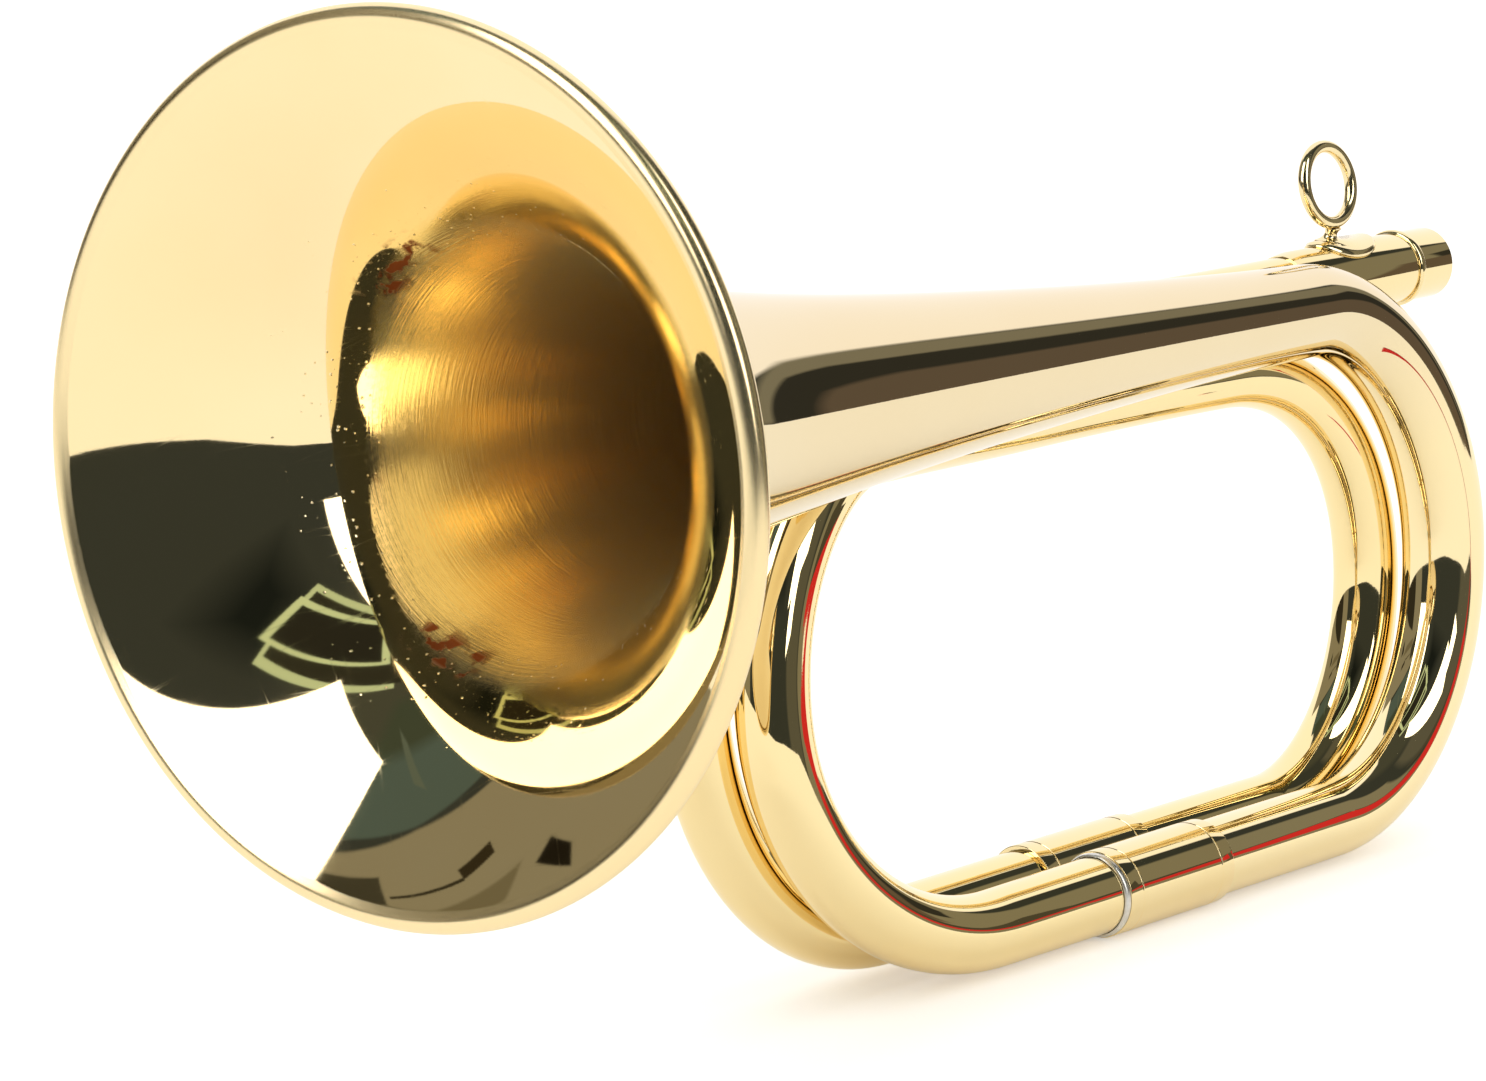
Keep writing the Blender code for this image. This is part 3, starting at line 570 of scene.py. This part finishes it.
back, front = [], []
for share in evenly(1.0, 0.0, bell["flareSteps"]):
    depth = rollStart[0] + (bell["seamDepth"] - rollStart[0]) * share ** bell["crowding"]
    back.append((depth, bellRadius(depth)))
    front.append(bellWall(depth))
front.pop()               # the roll's outside takes over here
shares = evenly(0.0, 1.0, bell["rollSteps"] + 1)
innerRoll = [rollPoint(share, bell["beadRadius"] - bell["sheet"]) for share in shares[1:]]
outerRoll = [rollPoint(share, bell["beadRadius"]) for share in shares[::-1]]
flare = spin("bellFlare", back + innerRoll + outerRoll + front[::-1], bell["rimCentre"], bellAxis,
             bell["sides"], flareBrass)
# the outside, up to the roll, is the same paler brass as the stem that it is brazed to
flare.data.materials.append(stemBrass)
for face in flare.data.polygons:
    spoke = face.center - bell["rimCentre"]
    spoke -= bellAxis * spoke.dot(bellAxis)
    if face.normal.dot(bellAxis) > 0 and spoke.length < bell["rimRadius"] - 2 * bell["beadRadius"]:
        face.material_index = 1
keepPiece(flare, "bell_flare")

rimSide = bellAxis.cross(axisZ).normalized()
wireRing = ringOf(bell["rimCentre"] + bellAxis * bell["beadDepth"], rimSide.cross(bellAxis), rimSide,
                  bell["rimRadius"] - bell["beadRadius"], bell["sides"])
rimWire = drawBead("rimWire", wireRing, bell["wireRadius"], bell["wireSides"], fittingBrass)
keepPiece(rimWire, "rim_wire")
print("bell flare and its rolled rim")

bows = {
    # each one's furthest X, and how far from there it begins at its bottom and at its top (mm)
    "nearRight": {"x": 258.1, "bottom": -36.8},
    "nearLeft": {"x": 92.7, "bottom": 43.0, "top": 26.8},
    "farRight": {"x": 253.3, "bottom": -31.4, "top": -39.2},
    "farLeft": {"x": 86.0, "bottom": 39.0, "top": 39.8},
}
branches = {
    "wall": 0.55 * mm,
    "sides": 72,
    "nearFerrule": nearFerruleX,      # mm, the middle of each ferrule
    "farFerrule": 172.0,
    "halfGap": 0.15,                  # mm from a ferrule's middle to the tubes' ends in it
    "farPlane": 13.35,                # mm from the near bottom tube to the far one
    # the middle run's left end, centre and right end, as Y and Z (mm), and its way there
    "runLeft": (10.6, 74.5),
    "runLeftWay": (1.0, 0.22, -0.04),
    "runCentre": (17.95, 72.7),
    "runCentreWay": (1.0, 0.04, 0.0),
    "runRight": (16.3, 72.9),
    "runRightWay": (1.0, -0.09, 0.0),
    "runSteps": 30,
    "pipeLeft": (17.6, 85.0),         # the mouthpipe's two ends, as Y and Z (mm)
    "pipeRight": (18.5, 84.4),
    "nearBottomRadius": 6.15 * mm,
    "nearRightRadius": 6.9 * mm,
    "nearLeftRadius": 6.0 * mm,
    "middleRadius": 5.4 * mm,
    "farRightRadius": 5.4 * mm,
    "farBottomRadius": 5.5 * mm,
    "farLeftRadius": 5.4 * mm,
    "mouthpipeRadius": 5.3 * mm,
}


def bowEnd(name, end, y, z=0.0):
    return at(bows[name]["x"] + bows[name][end], y, z)


def bowApex(name):
    return at(bows[name]["x"], 0.0, 0.0).x


def tapered(first, *stages):
    # radii along a branch: level for two points, then evenly to each stage's radius in its steps
    radii = [first] * 2
    for radius, steps in stages:
        radii += evenly(radii[-1], radius, steps + 1)[1:]
    return radii


low = bowEnd("nearRight", "bottom", 0.0)
points = [at(branches["nearFerrule"] + branches["halfGap"], 0.0, 0.0), low]
points += bow(low, axisX, bowApex("nearRight"), bell["tail"], -bellAxis)
radii = tapered(branches["nearBottomRadius"], (branches["nearRightRadius"], bowSteps),
                (bell["tailRadius"], bowSteps))
seam = bell["seamDepth"] + bell["seamGap"]
for share in evenly(1.0, 0.0, bell["stemSteps"] + 1)[1:]:
    depth = seam + (bellLength - seam) * share ** bell["crowding"]
    points.append(bell["rimCentre"] + bellAxis * depth)
    radii.append(bellRadius(depth))
bellBranch = drawTube("bellBranch", points, radii, bell["stemSides"], bell["sheet"], stemBrass, throatBrass)
keepPiece(bellBranch, "bell_branch")

left = bowEnd("nearLeft", "top", *branches["runLeft"])
right = bowEnd("farRight", "top", *branches["runRight"])
ends = [bows[name][key] for name in ("nearLeft", "farRight") for key in ("x", "top")]
centre = at(sum(ends) / 2, *branches["runCentre"])
leftWay, centreWay, rightWay = (Vector(branches[key]).normalized()
                                for key in ("runLeftWay", "runCentreWay", "runRightWay"))
lowRight = bowEnd("farRight", "bottom", branches["farPlane"])
lowLeft = bowEnd("nearLeft", "bottom", 0.0)
handle = (right - centre).length / 3
points = [at(branches["farFerrule"] + branches["halfGap"], branches["farPlane"], 0.0), lowRight]
points += bow(lowRight, axisX, bowApex("farRight"), right, -rightWay)
points += bezier(right, -rightWay * handle, centre, -centreWay * handle, branches["runSteps"])
points += bezier(centre, -centreWay * handle, left, -leftWay * handle, branches["runSteps"])
points += bow(left, -leftWay, bowApex("nearLeft"), lowLeft, axisX)
points.append(at(branches["nearFerrule"] - branches["halfGap"], 0.0, 0.0))
radii = tapered(branches["farBottomRadius"], (branches["farRightRadius"], 2 * bowSteps),
                (branches["middleRadius"], 2 * branches["runSteps"]),
                (branches["nearLeftRadius"], 2 * bowSteps), (branches["nearBottomRadius"], 1))
middleBranch = drawTube("middleBranch", points, radii, branches["sides"], branches["wall"],
                        tubeBrass, tubeBrass)
keepPiece(middleBranch, "middle_branch")

receiver = {
    "startX": 234.0,              # mm
    "endX": 275.5,
    "lap": 16.0,                  # mm, how far the mouthpipe reaches into it
    "radius": 5.95 * mm,
    "leadIn": 2.5 * mm,
    "edge": 0.2 * mm,
    "bevel": 0.2 * mm,
    "socketDeep": 4.5 * mm,       # the taper socket's radius, deep inside and at its mouth
    "socketMouth": 5.0 * mm,
    "ringX": 266.4,               # mm
    "ringWidth": 1.6 * mm,
    "ringHeight": 0.5 * mm,
    "sides": 128,
    "crease": 25.0,               # degrees
}
pipeLeft = bowEnd("farLeft", "top", *branches["pipeLeft"])
pipeRight = at(receiver["endX"], *branches["pipeRight"])
pipeAxis = (pipeRight - pipeLeft).normalized()


def pipePoint(x):
    x = at(x, 0.0, 0.0).x
    return pipeLeft.lerp(pipeRight, (x - pipeLeft.x) / (pipeRight.x - pipeLeft.x))


lowFar = bowEnd("farLeft", "bottom", branches["farPlane"])
points = [pipePoint(receiver["startX"] + receiver["lap"]), pipeLeft]
points += bow(pipeLeft, -pipeAxis, bowApex("farLeft"), lowFar, axisX)
points.append(at(branches["farFerrule"] - branches["halfGap"], branches["farPlane"], 0.0))
radii = tapered(branches["mouthpipeRadius"], (branches["farLeftRadius"], 2 * bowSteps),
                (branches["farBottomRadius"], 1))
mouthpipe = drawTube("mouthpipeTube", points, radii, branches["sides"], branches["wall"],
                     tubeBrass, tubeBrass)
keepPiece(mouthpipe, "mouthpipe")
print("branches drawn and bent")

ferrule = {
    "length": 26.4 * mm,
    "wall": 0.4 * mm,
    "lineInset": 3.1 * mm,        # a turned line near each end
    "lineWidth": 0.4 * mm,
    "lineDepth": 0.15 * mm,
    "bevel": 0.15 * mm,
    "sides": 128,
    "crease": 40.0,               # degrees
}


def makeFerrule(name, x, y, tubeRadius):
    bore = tubeRadius + bedding
    outside = tubeRadius + clearance + ferrule["wall"]
    half = ferrule["length"] / 2
    bevel = ferrule["bevel"]
    outline = [(-half, bore)] + arc(-half + bevel, outside - bevel, bevel, bevel, 0, 1, 4)
    for middle in (-half + ferrule["lineInset"], half - ferrule["lineInset"]):
        outline += arc(middle, outside, ferrule["lineWidth"] / 2, -ferrule["lineDepth"], 0, 2, 6)
    outline += arc(half - bevel, outside - bevel, bevel, bevel, 1, 2, 4) + [(half, bore)]
    return spin(name, outline, at(x, y, 0.0), axisX, ferrule["sides"], sleeveBrass, ferrule["crease"])


nearFerrule = makeFerrule("nearFerrule", branches["nearFerrule"], 0.0, branches["nearBottomRadius"])
keepPiece(nearFerrule, "near_ferrule")
farFerrule = makeFerrule("farFerrule", branches["farFerrule"], branches["farPlane"],
                         branches["farBottomRadius"])
keepPiece(farFerrule, "far_ferrule")

solder = {
    "grey": ("F2F0EA", "D2CFC6"),     # bright and dull, of plain tin solder
    "gold": ("E8CF9A", "B99A62"),     # and of what was tinted to match the brass
    "roughness": (0.2, 0.45),
    "grainSize": 0.8,                 # mm
    "grainDepth": 0.02,
    "collarLength": 0.7 * mm,
    "collarHeight": 0.5 * mm,
    "collarEnd": 0.25 * mm,           # how far it fills the gap at the ferrule's end
    "collarSides": 96,
}


def softSolder(name, tones):
    # tin solder wiped while hot: dull in patches, with fine ripples
    material, tree, shader = newMaterial(name)
    place = addNode(tree, "ShaderNodeTexCoord").outputs["Object"]
    grain = addNode(tree, "ShaderNodeTexNoise",
                    {"Vector": place, "Scale": 1000 / solder["grainSize"], "Detail": 4.0})
    tone = addNode(tree, "ShaderNodeMix", {"Factor": grain, mixA: linear(tones[0]), mixB: linear(tones[1])},
                   data_type="RGBA")
    smooth, coarse = solder["roughness"]
    rough = addNode(tree, "ShaderNodeMapRange", {"Value": grain, "To Min": smooth, "To Max": coarse})
    ripples = addNode(tree, "ShaderNodeBump", {"Height": grain, "Distance": solder["grainDepth"] * mm})
    feed(tree, shader, {"Base Color": tone, "Roughness": rough, "Normal": ripples, "Metallic": 1.0})
    return material


collarBore = branches["nearBottomRadius"] + bedding
collarTop = collarBore + solder["collarHeight"]
collarPlace = at(branches["nearFerrule"], 0.0, 0.0) - axisX * (ferrule["length"] / 2 + clearance)
outline = arc(0.0, collarBore, solder["collarLength"], solder["collarHeight"], 0, 1, 7)
outline += [(solder["collarEnd"], collarTop), (solder["collarEnd"], collarBore)]
collar = spin("nearFerruleSolder", outline, collarPlace, axisX, solder["collarSides"],
              softSolder("wipedTinSolder", solder["grey"]))
keepPiece(collar, "near_ferrule_solder")

length = (receiver["endX"] - receiver["startX"]) * mm
lap = receiver["lap"] * mm + clearance
bore = branches["mouthpipeRadius"] + bedding
bevel = receiver["bevel"]
outline = [(0.0, bore), (0.0, bore + receiver["edge"]), (receiver["leadIn"], receiver["radius"])]
outline += arc(length - bevel, receiver["radius"] - bevel, bevel, bevel, 1, 2, 5)
outline += [(length, receiver["socketMouth"]), (lap, receiver["socketDeep"]), (lap, bore)]
receiverSleeve = spin("mouthpieceReceiver", outline, pipePoint(receiver["startX"]), pipeAxis,
                      receiver["sides"], sleeveBrass, receiver["crease"])
keepPiece(receiverSleeve, "mouthpiece_receiver")

outline = arc(0.0, receiver["radius"] + bedding, receiver["ringWidth"] / 2, receiver["ringHeight"], 0, 2, 16)
receiverRing = spin("receiverRing", outline, pipePoint(receiver["ringX"]), pipeAxis, receiver["sides"],
                    sleeveBrass)
keepPiece(receiverRing, "receiver_ring")
print("ferrules and receiver turned")

lanyard = {
    "saddleX": 250.9,             # mm
    "halfLength": 7.3 * mm,
    "halfWidth": 5.2 * mm,
    "thickness": 0.6 * mm,
    "bedding": 0.03 * mm,
    "ringX": 247.4,               # mm
    "ringRise": 16.0 * mm,
    "ringLean": math.radians(10.7),
    "ringRadius": 6.35 * mm,
    "ringSteps": 120,
    "wireRadius": 1.06 * mm,
    "wireSides": 40,
    "neckBase": 2.2 * mm,
    "neckLap": 0.15 * mm,         # how far the neck reaches into the ring's wire
    # the neck's loops: how far up it each is, and its share of the neck's base
    "neck": ((0.0, 1.0), (0.08, 0.82), (0.2, 0.64), (0.35, 0.54), (0.5, 0.5), (0.65, 0.51), (0.8, 0.56),
             (0.92, 0.62), (1.0, 0.58)),
    "sides": 96,
    "crease": 50.0,               # degrees
}
ringUp = Vector((0.0, math.sin(lanyard["ringLean"]), math.cos(lanyard["ringLean"])))
ringCentre = pipePoint(lanyard["ringX"]) + axisZ * lanyard["ringRise"]
ringPoints = ringOf(ringCentre, ringUp, axisX, lanyard["ringRadius"], lanyard["ringSteps"])
lanyardRing = drawBead("lanyardRing", ringPoints, lanyard["wireRadius"], lanyard["wireSides"], fittingBrass)
keepPiece(lanyardRing, "lanyard_ring")


def makeSaddle():
    sides = lanyard["sides"]
    inner = receiver["radius"] + lanyard["bedding"]
    outer = inner + clearance + lanyard["thickness"]
    middle = pipePoint(lanyard["saddleX"])
    neckTop = ringCentre - ringUp * lanyard["ringRadius"] - axisZ * (lanyard["wireRadius"] - lanyard["neckLap"])
    neckFoot = pipePoint(lanyard["ringX"]) + axisZ * outer
    loops = []
    # out along the underside, round the edge and back over the top: share of the outline, and radius
    for share, radius in ((0.02, inner), (0.3, inner), (0.7, inner), (0.985, inner), (1.0, inner + 0.1 * mm),
                          (1.0, inner + 0.25 * mm), (0.985, inner + 0.42 * mm), (0.95, inner + 0.58 * mm),
                          (0.9, outer - 0.04 * mm), (0.84, outer), (0.7, outer)):
        loop = []
        for k in range(sides):
            turn = 2 * math.pi * k / sides
            along = lanyard["halfLength"] * share * math.cos(turn)
            lean = -lanyard["halfWidth"] * share * math.sin(turn) / inner
            loop.append(middle + Vector((along, radius * math.sin(lean), radius * math.cos(lean))))
        loops.append(loop)
    for height, share in lanyard["neck"]:
        loops.append(ringOf(neckFoot.lerp(neckTop, height), axisX, -axisY, lanyard["neckBase"] * share, sides))
    faces = []
    for first in range(0, (len(loops) - 1) * sides, sides):
        for k in range(sides):
            after = (k + 1) % sides
            faces.append((first + k, first + sides + k, first + sides + after, first + after))
    last = (len(loops) - 1) * sides
    faces += [tuple(range(sides)), tuple(reversed(range(last, last + sides)))]
    mesh = bpy.data.meshes.new("lanyardSaddle")
    mesh.from_pydata([vertex for loop in loops for vertex in loop], [], faces)
    mesh.update()
    mesh.shade_smooth()
    mesh.set_sharp_from_angle(angle=math.radians(lanyard["crease"]))
    mesh.materials.append(fittingBrass)
    return addObject("lanyardSaddle", mesh)


keepPiece(makeSaddle(), "lanyard_saddle")
goldSolder = softSolder("brassColouredSolder", solder["gold"])
for cadNode in ("top_solder", "middle_solder", "ferrule_solder"):
    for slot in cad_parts[cadNode].material_slots:
        slot.material = goldSolder
print("lanyard fitting and solder")

table = {
    "tone": "FAF9F6",
    "lift": 0.34,             # light added for the camera's rays, so that the paper stays white
    "mirrorLift": 0.12,       # and for reflections
    "outline": [(-1.9, -0.2), (-1.44, -0.365), (-1.0, -0.51), (-0.76, -0.64), (-0.72, -1.5), (0.3, -1.5),
                (0.31, -0.46), (0.93, -0.42), (0.97, -0.2), (3.6, 0.2), (3.6, 5.0), (-1.9, 5.0)],     # m
}


def stageMaterial(name):
    # an empty material, whose surface is then fed its own shaders
    material, tree, shader = newMaterial(name)
    tree.nodes.remove(shader)
    return material, tree, addNode(tree, "ShaderNodeLightPath").outputs


material, tree, rays = stageMaterial("whiteTable")
mirrored = chain(tree, "MAXIMUM", [rays["Is Glossy Ray"], rays["Is Transmission Ray"]])
lift = chain(tree, "MULTIPLY", [rays["Is Camera Ray"], table["lift"]])
lift = addNode(tree, "ShaderNodeMath", {0: mirrored, 1: table["mirrorLift"], 2: lift},
               operation="MULTIPLY_ADD")
paper = addNode(tree, "ShaderNodeBsdfDiffuse", {"Color": linear(table["tone"])})
glow = addNode(tree, "ShaderNodeEmission", {"Color": (1.0, 1.0, 1.0, 1.0), "Strength": lift})
feed(tree, tree.nodes["Material Output"],
     {"Surface": addNode(tree, "ShaderNodeAddShader", {0: paper, 1: glow})})
mesh = bpy.data.meshes.new("table")
mesh.from_pydata([(x, y, 0.0) for x, y in table["outline"]], [], [tuple(range(len(table["outline"])))])
mesh.update()
mesh.materials.append(material)
floor = addObject("table", mesh)

studio = {"room": (0.0375, 0.0432, 0.0425), "plain": 1.0}     # what reflections see, and all other rays
# what stands round the table, each a flat sheet given by the way (turn, rise in degrees) to its corners,
# with how soft its edges are and the light that it sends; a later one stands before an earlier one
flats = [
    ("ceiling", [(0, 42), (90, 42), (180, 42), (-90, 42)], 10, (0.06, 0.065, 0.055)),
    ("farSweep", [(-4, -12), (-8, 22), (-16, 42), (-20, 72), (100, 72), (102, -12)], 1.5, (1.12, 1.1, 1.12)),
    ("greyCurtain", [(-7, -6), (-3, 16), (-7, 24), (-22, 34), (-52, 34), (-60, -6)], 2.2, (0.22, 0.21, 0.165)),
    ("blackFlag", [(-10.5, -8), (-8.5, 11), (-10.5, 15.5), (-14, 18.4), (-24, 17), (-30, -8)], 1,
     (0.032, 0.032, 0.028)),
    ("brownCase", [(-16, -8), (-15.5, 5), (-18, 10), (-32, 11), (-40, -8)], 1.5, (0.12, 0.095, 0.075)),
    ("greyChair", [(-58, -8), (-60, 50), (-98, 50), (-98, -8)], 5, (0.1, 0.1, 0.085)),
    ("darkAisle", [(-116, 20), (-120, 48), (-164, 52), (-160, 22)], 12, (0.01, 0.013, 0.013)),
    ("tealWall", [(150, 40.5), (128, 41.5), (100, 39), (90, 66), (140, 66)], 0.6, (0.075, 0.11, 0.115)),
    ("tealShade", [(150, 52), (126, 56), (100, 54), (90, 72), (150, 72)], 4, (0.05, 0.065, 0.05)),
    ("paleBeam", [(127, 50), (122, 47), (129, 60), (137, 65)], 0.4, (0.1, 0.13, 0.12)),
    ("greyWall", [(154, -8), (153, 30), (150, 40.5), (128, 41.5), (100, 39), (84, 34), (84, -8)], 0.6,
     (0.24, 0.225, 0.18)),
    ("cabinet", [(137.2, 29.5), (152, 23), (151, 35), (138.4, 35.4)], 0.4, (0.05, 0.048, 0.036)),
    ("shelf", [(140, 29), (112, 23.5), (104, 24.5), (104, 21.5), (112, 20), (140, 25)], 0.5, (0.15, 0.135, 0.095)),
    ("ledge", [(137, 31.4), (122.6, 28.8), (122.6, 29.6), (137, 32)], 0.2, (0.03, 0.026, 0.016)),
    ("strap", [(122.9, 31.2), (113.6, 30.4), (114.6, 28.2), (122.9, 29)], 0.3, (0.03, 0.024, 0.014)),
    ("doorway", [(112.5, 21.6), (106.5, 20.8), (107, 17), (111.5, 16)], 0.4, (0.012, 0.01, 0.007)),
    ("skirting", [(134, 22), (120, 15), (103, 6), (97, -8), (134, -8)], 0.6, (0.03, 0.027, 0.02)),
    ("rearFrame", [(-121, 44.2), (-157, 42), (155, 74), (-104, 74)], 0.3, (0.5, 0.62, 0.45)),
    ("rearPanel", [(-123.5, 46), (-154, 43.8), (150, 76), (-110, 76)], 0.3, (0.03, 0.03, 0.022)),
    ("frontFrame", [(-128.5, 43.8), (-149, 41.2), (-175, 77.5), (-117, 73)], 0.3, (0.55, 0.68, 0.49)),
    ("frontPanel", [(-131, 46), (-147.5, 43.6), (-166, 75.5), (-122, 72)], 0.3, (0.022, 0.022, 0.018)),
    ("softBox", [(-171.8, 16), (-165.6, 64.3), (140.4, 56.6), (155, 13.5)], 0.4, (3.4, 3.4, 3.4)),
    ("window", [(-106, 18), (-115, 63), (-92, 62), (-80, 18)], 0.4, (3.4, 3.4, 3.4)),
    ("windowFoot", [(-99, 21), (-100, 9), (-88, 9), (-88, 21)], 0.4, (3.4, 3.4, 3.4)),
]

world = bpy.data.worlds.new("studio")
bpy.context.scene.world = world
world.use_nodes = True
tree = world.node_tree
tree.nodes.clear()
way = addNode(tree, "ShaderNodeTexCoord").outputs["Generated"]
colour = addNode(tree, "ShaderNodeRGB")
colour.outputs[0].default_value = (*studio["room"], 1.0)
for name, corners, soft, tone in flats:
    rays = []
    for turn, rise in corners:
        turn, rise = math.radians(turn), math.radians(rise)
        rays.append(Vector((math.cos(turn) * math.cos(rise), math.sin(turn) * math.cos(rise), math.sin(rise))))
    middle = sum(rays, Vector()).normalized()
    edges = []
    for first, second in zip(rays, rays[1:] + rays[:1]):
        inward = first.cross(second).normalized()
        if inward.dot(middle) < 0:
            inward = -inward
        inside = addNode(tree, "ShaderNodeVectorMath", {0: way, 1: inward}, operation="DOT_PRODUCT")
        edges.append(addNode(tree, "ShaderNodeMapRange",
                             {"Value": inside, "From Max": math.sin(math.radians(soft))}))
    colour = addNode(tree, "ShaderNodeMix", {"Factor": chain(tree, "MINIMUM", edges), mixA: colour,
                                             mixB: (*tone, 1.0)}, data_type="RGBA", label=name)
rays = addNode(tree, "ShaderNodeLightPath").outputs
choose = addNode(tree, "ShaderNodeMix", {"Factor": rays["Is Glossy Ray"], mixA: (*[studio["plain"]] * 3, 1.0),
                                         mixB: colour}, data_type="RGBA")
sky = addNode(tree, "ShaderNodeBackground", {"Color": choose})
addNode(tree, "ShaderNodeOutputWorld", {"Surface": sky})
world.cycles.sampling_method = "NONE"

# a dark case with a red lower edge stands by the near bow, where only near reflections show it
case = {
    # each piece: its two feet, the heights of its tops, how far its edge reaches below the feet,
    # and how near a thing must be to mirror it (m)
    "pieces": (((0.149, -0.038, 0.0262), (0.158, -0.058, 0.027), 0.006, 0.006, 0.012, 0.114),
               ((0.158, -0.058, 0.027), (0.17, -0.084, 0.028), 0.006, 0.008, 0.012, 0.15),
               ((0.17, -0.084, 0.028), (0.2, -0.15, 0.031), 0.008, 0.02, 0.01, 9.0),
               ((0.2, -0.15, 0.031), (0.306, -0.386, 0.04), 0.06, 0.075, 0.006, 9.0)),
    "edge": 0.0045,
    "red": (0.62, 0.03, 0.035),
    "dark": (0.07, 0.065, 0.05),
}
vertices, faces = [], []
mesh = bpy.data.meshes.new("redEdgedCase")
for start, end, startTop, endTop, below, nearer in case["pieces"]:
    first = len(vertices)
    for foot, top in ((start, startTop), (end, endTop)):
        vertices += [Vector(foot) + axisZ * height for height in (-below, case["edge"], top)]
    faces += [(first, first + 3, first + 4, first + 1), (first + 1, first + 4, first + 5, first + 2)]
    for name in ("red", "dark"):
        material, tree, rays = stageMaterial(name + "Case")
        close = addNode(tree, "ShaderNodeMath", {0: rays["Ray Length"], 1: nearer}, operation="LESS_THAN")
        shown = chain(tree, "MULTIPLY", [rays["Is Glossy Ray"], close])
        plain = addNode(tree, "ShaderNodeEmission", {"Color": (*case[name], 1.0)})
        unseen = addNode(tree, "ShaderNodeBsdfTransparent")
        mixed = addNode(tree, "ShaderNodeMixShader", {0: shown, 1: unseen, 2: plain})
        feed(tree, tree.nodes["Material Output"], {"Surface": mixed})
        mesh.materials.append(material)
mesh.from_pydata(vertices, [], faces)
mesh.update()
for face in mesh.polygons:
    face.material_index = face.index
caseObject = addObject("redEdgedCase", mesh)

camera = {
    "place": Vector((-0.59671, -0.47752, 0.21233)),
    "turn": 42.0823,          # degrees from X
    "down": 10.63,
    "roll": -1.2071,
    "lens": 127.545,          # mm
    "sensor": 36.0,
    "near": 0.01,             # m
    "far": 20.0,
}
turn, down, roll = (math.radians(camera[key]) for key in ("turn", "down", "roll"))
forward = Vector((math.cos(turn) * math.cos(down), math.sin(turn) * math.cos(down), -math.sin(down)))
sideways = Vector((math.sin(turn), -math.cos(turn), 0.0))
upward = sideways.cross(forward)
rolledSideways = sideways * math.cos(roll) + upward * math.sin(roll)
rolledUpward = upward * math.cos(roll) - sideways * math.sin(roll)
cameraData = bpy.data.cameras.new("studioCamera")
cameraData.lens = camera["lens"]
cameraData.sensor_width = camera["sensor"]
cameraData.clip_start = camera["near"]
cameraData.clip_end = camera["far"]
cameraObject = addObject("studioCamera", cameraData)
turned = Matrix((rolledSideways, rolledUpward, -forward)).transposed().to_4x4()
cameraObject.matrix_world = Matrix.Translation(camera["place"]) @ turned
bpy.context.scene.camera = cameraObject
bpy.context.scene.view_settings.view_transform = "Standard"
print("studio and camera")
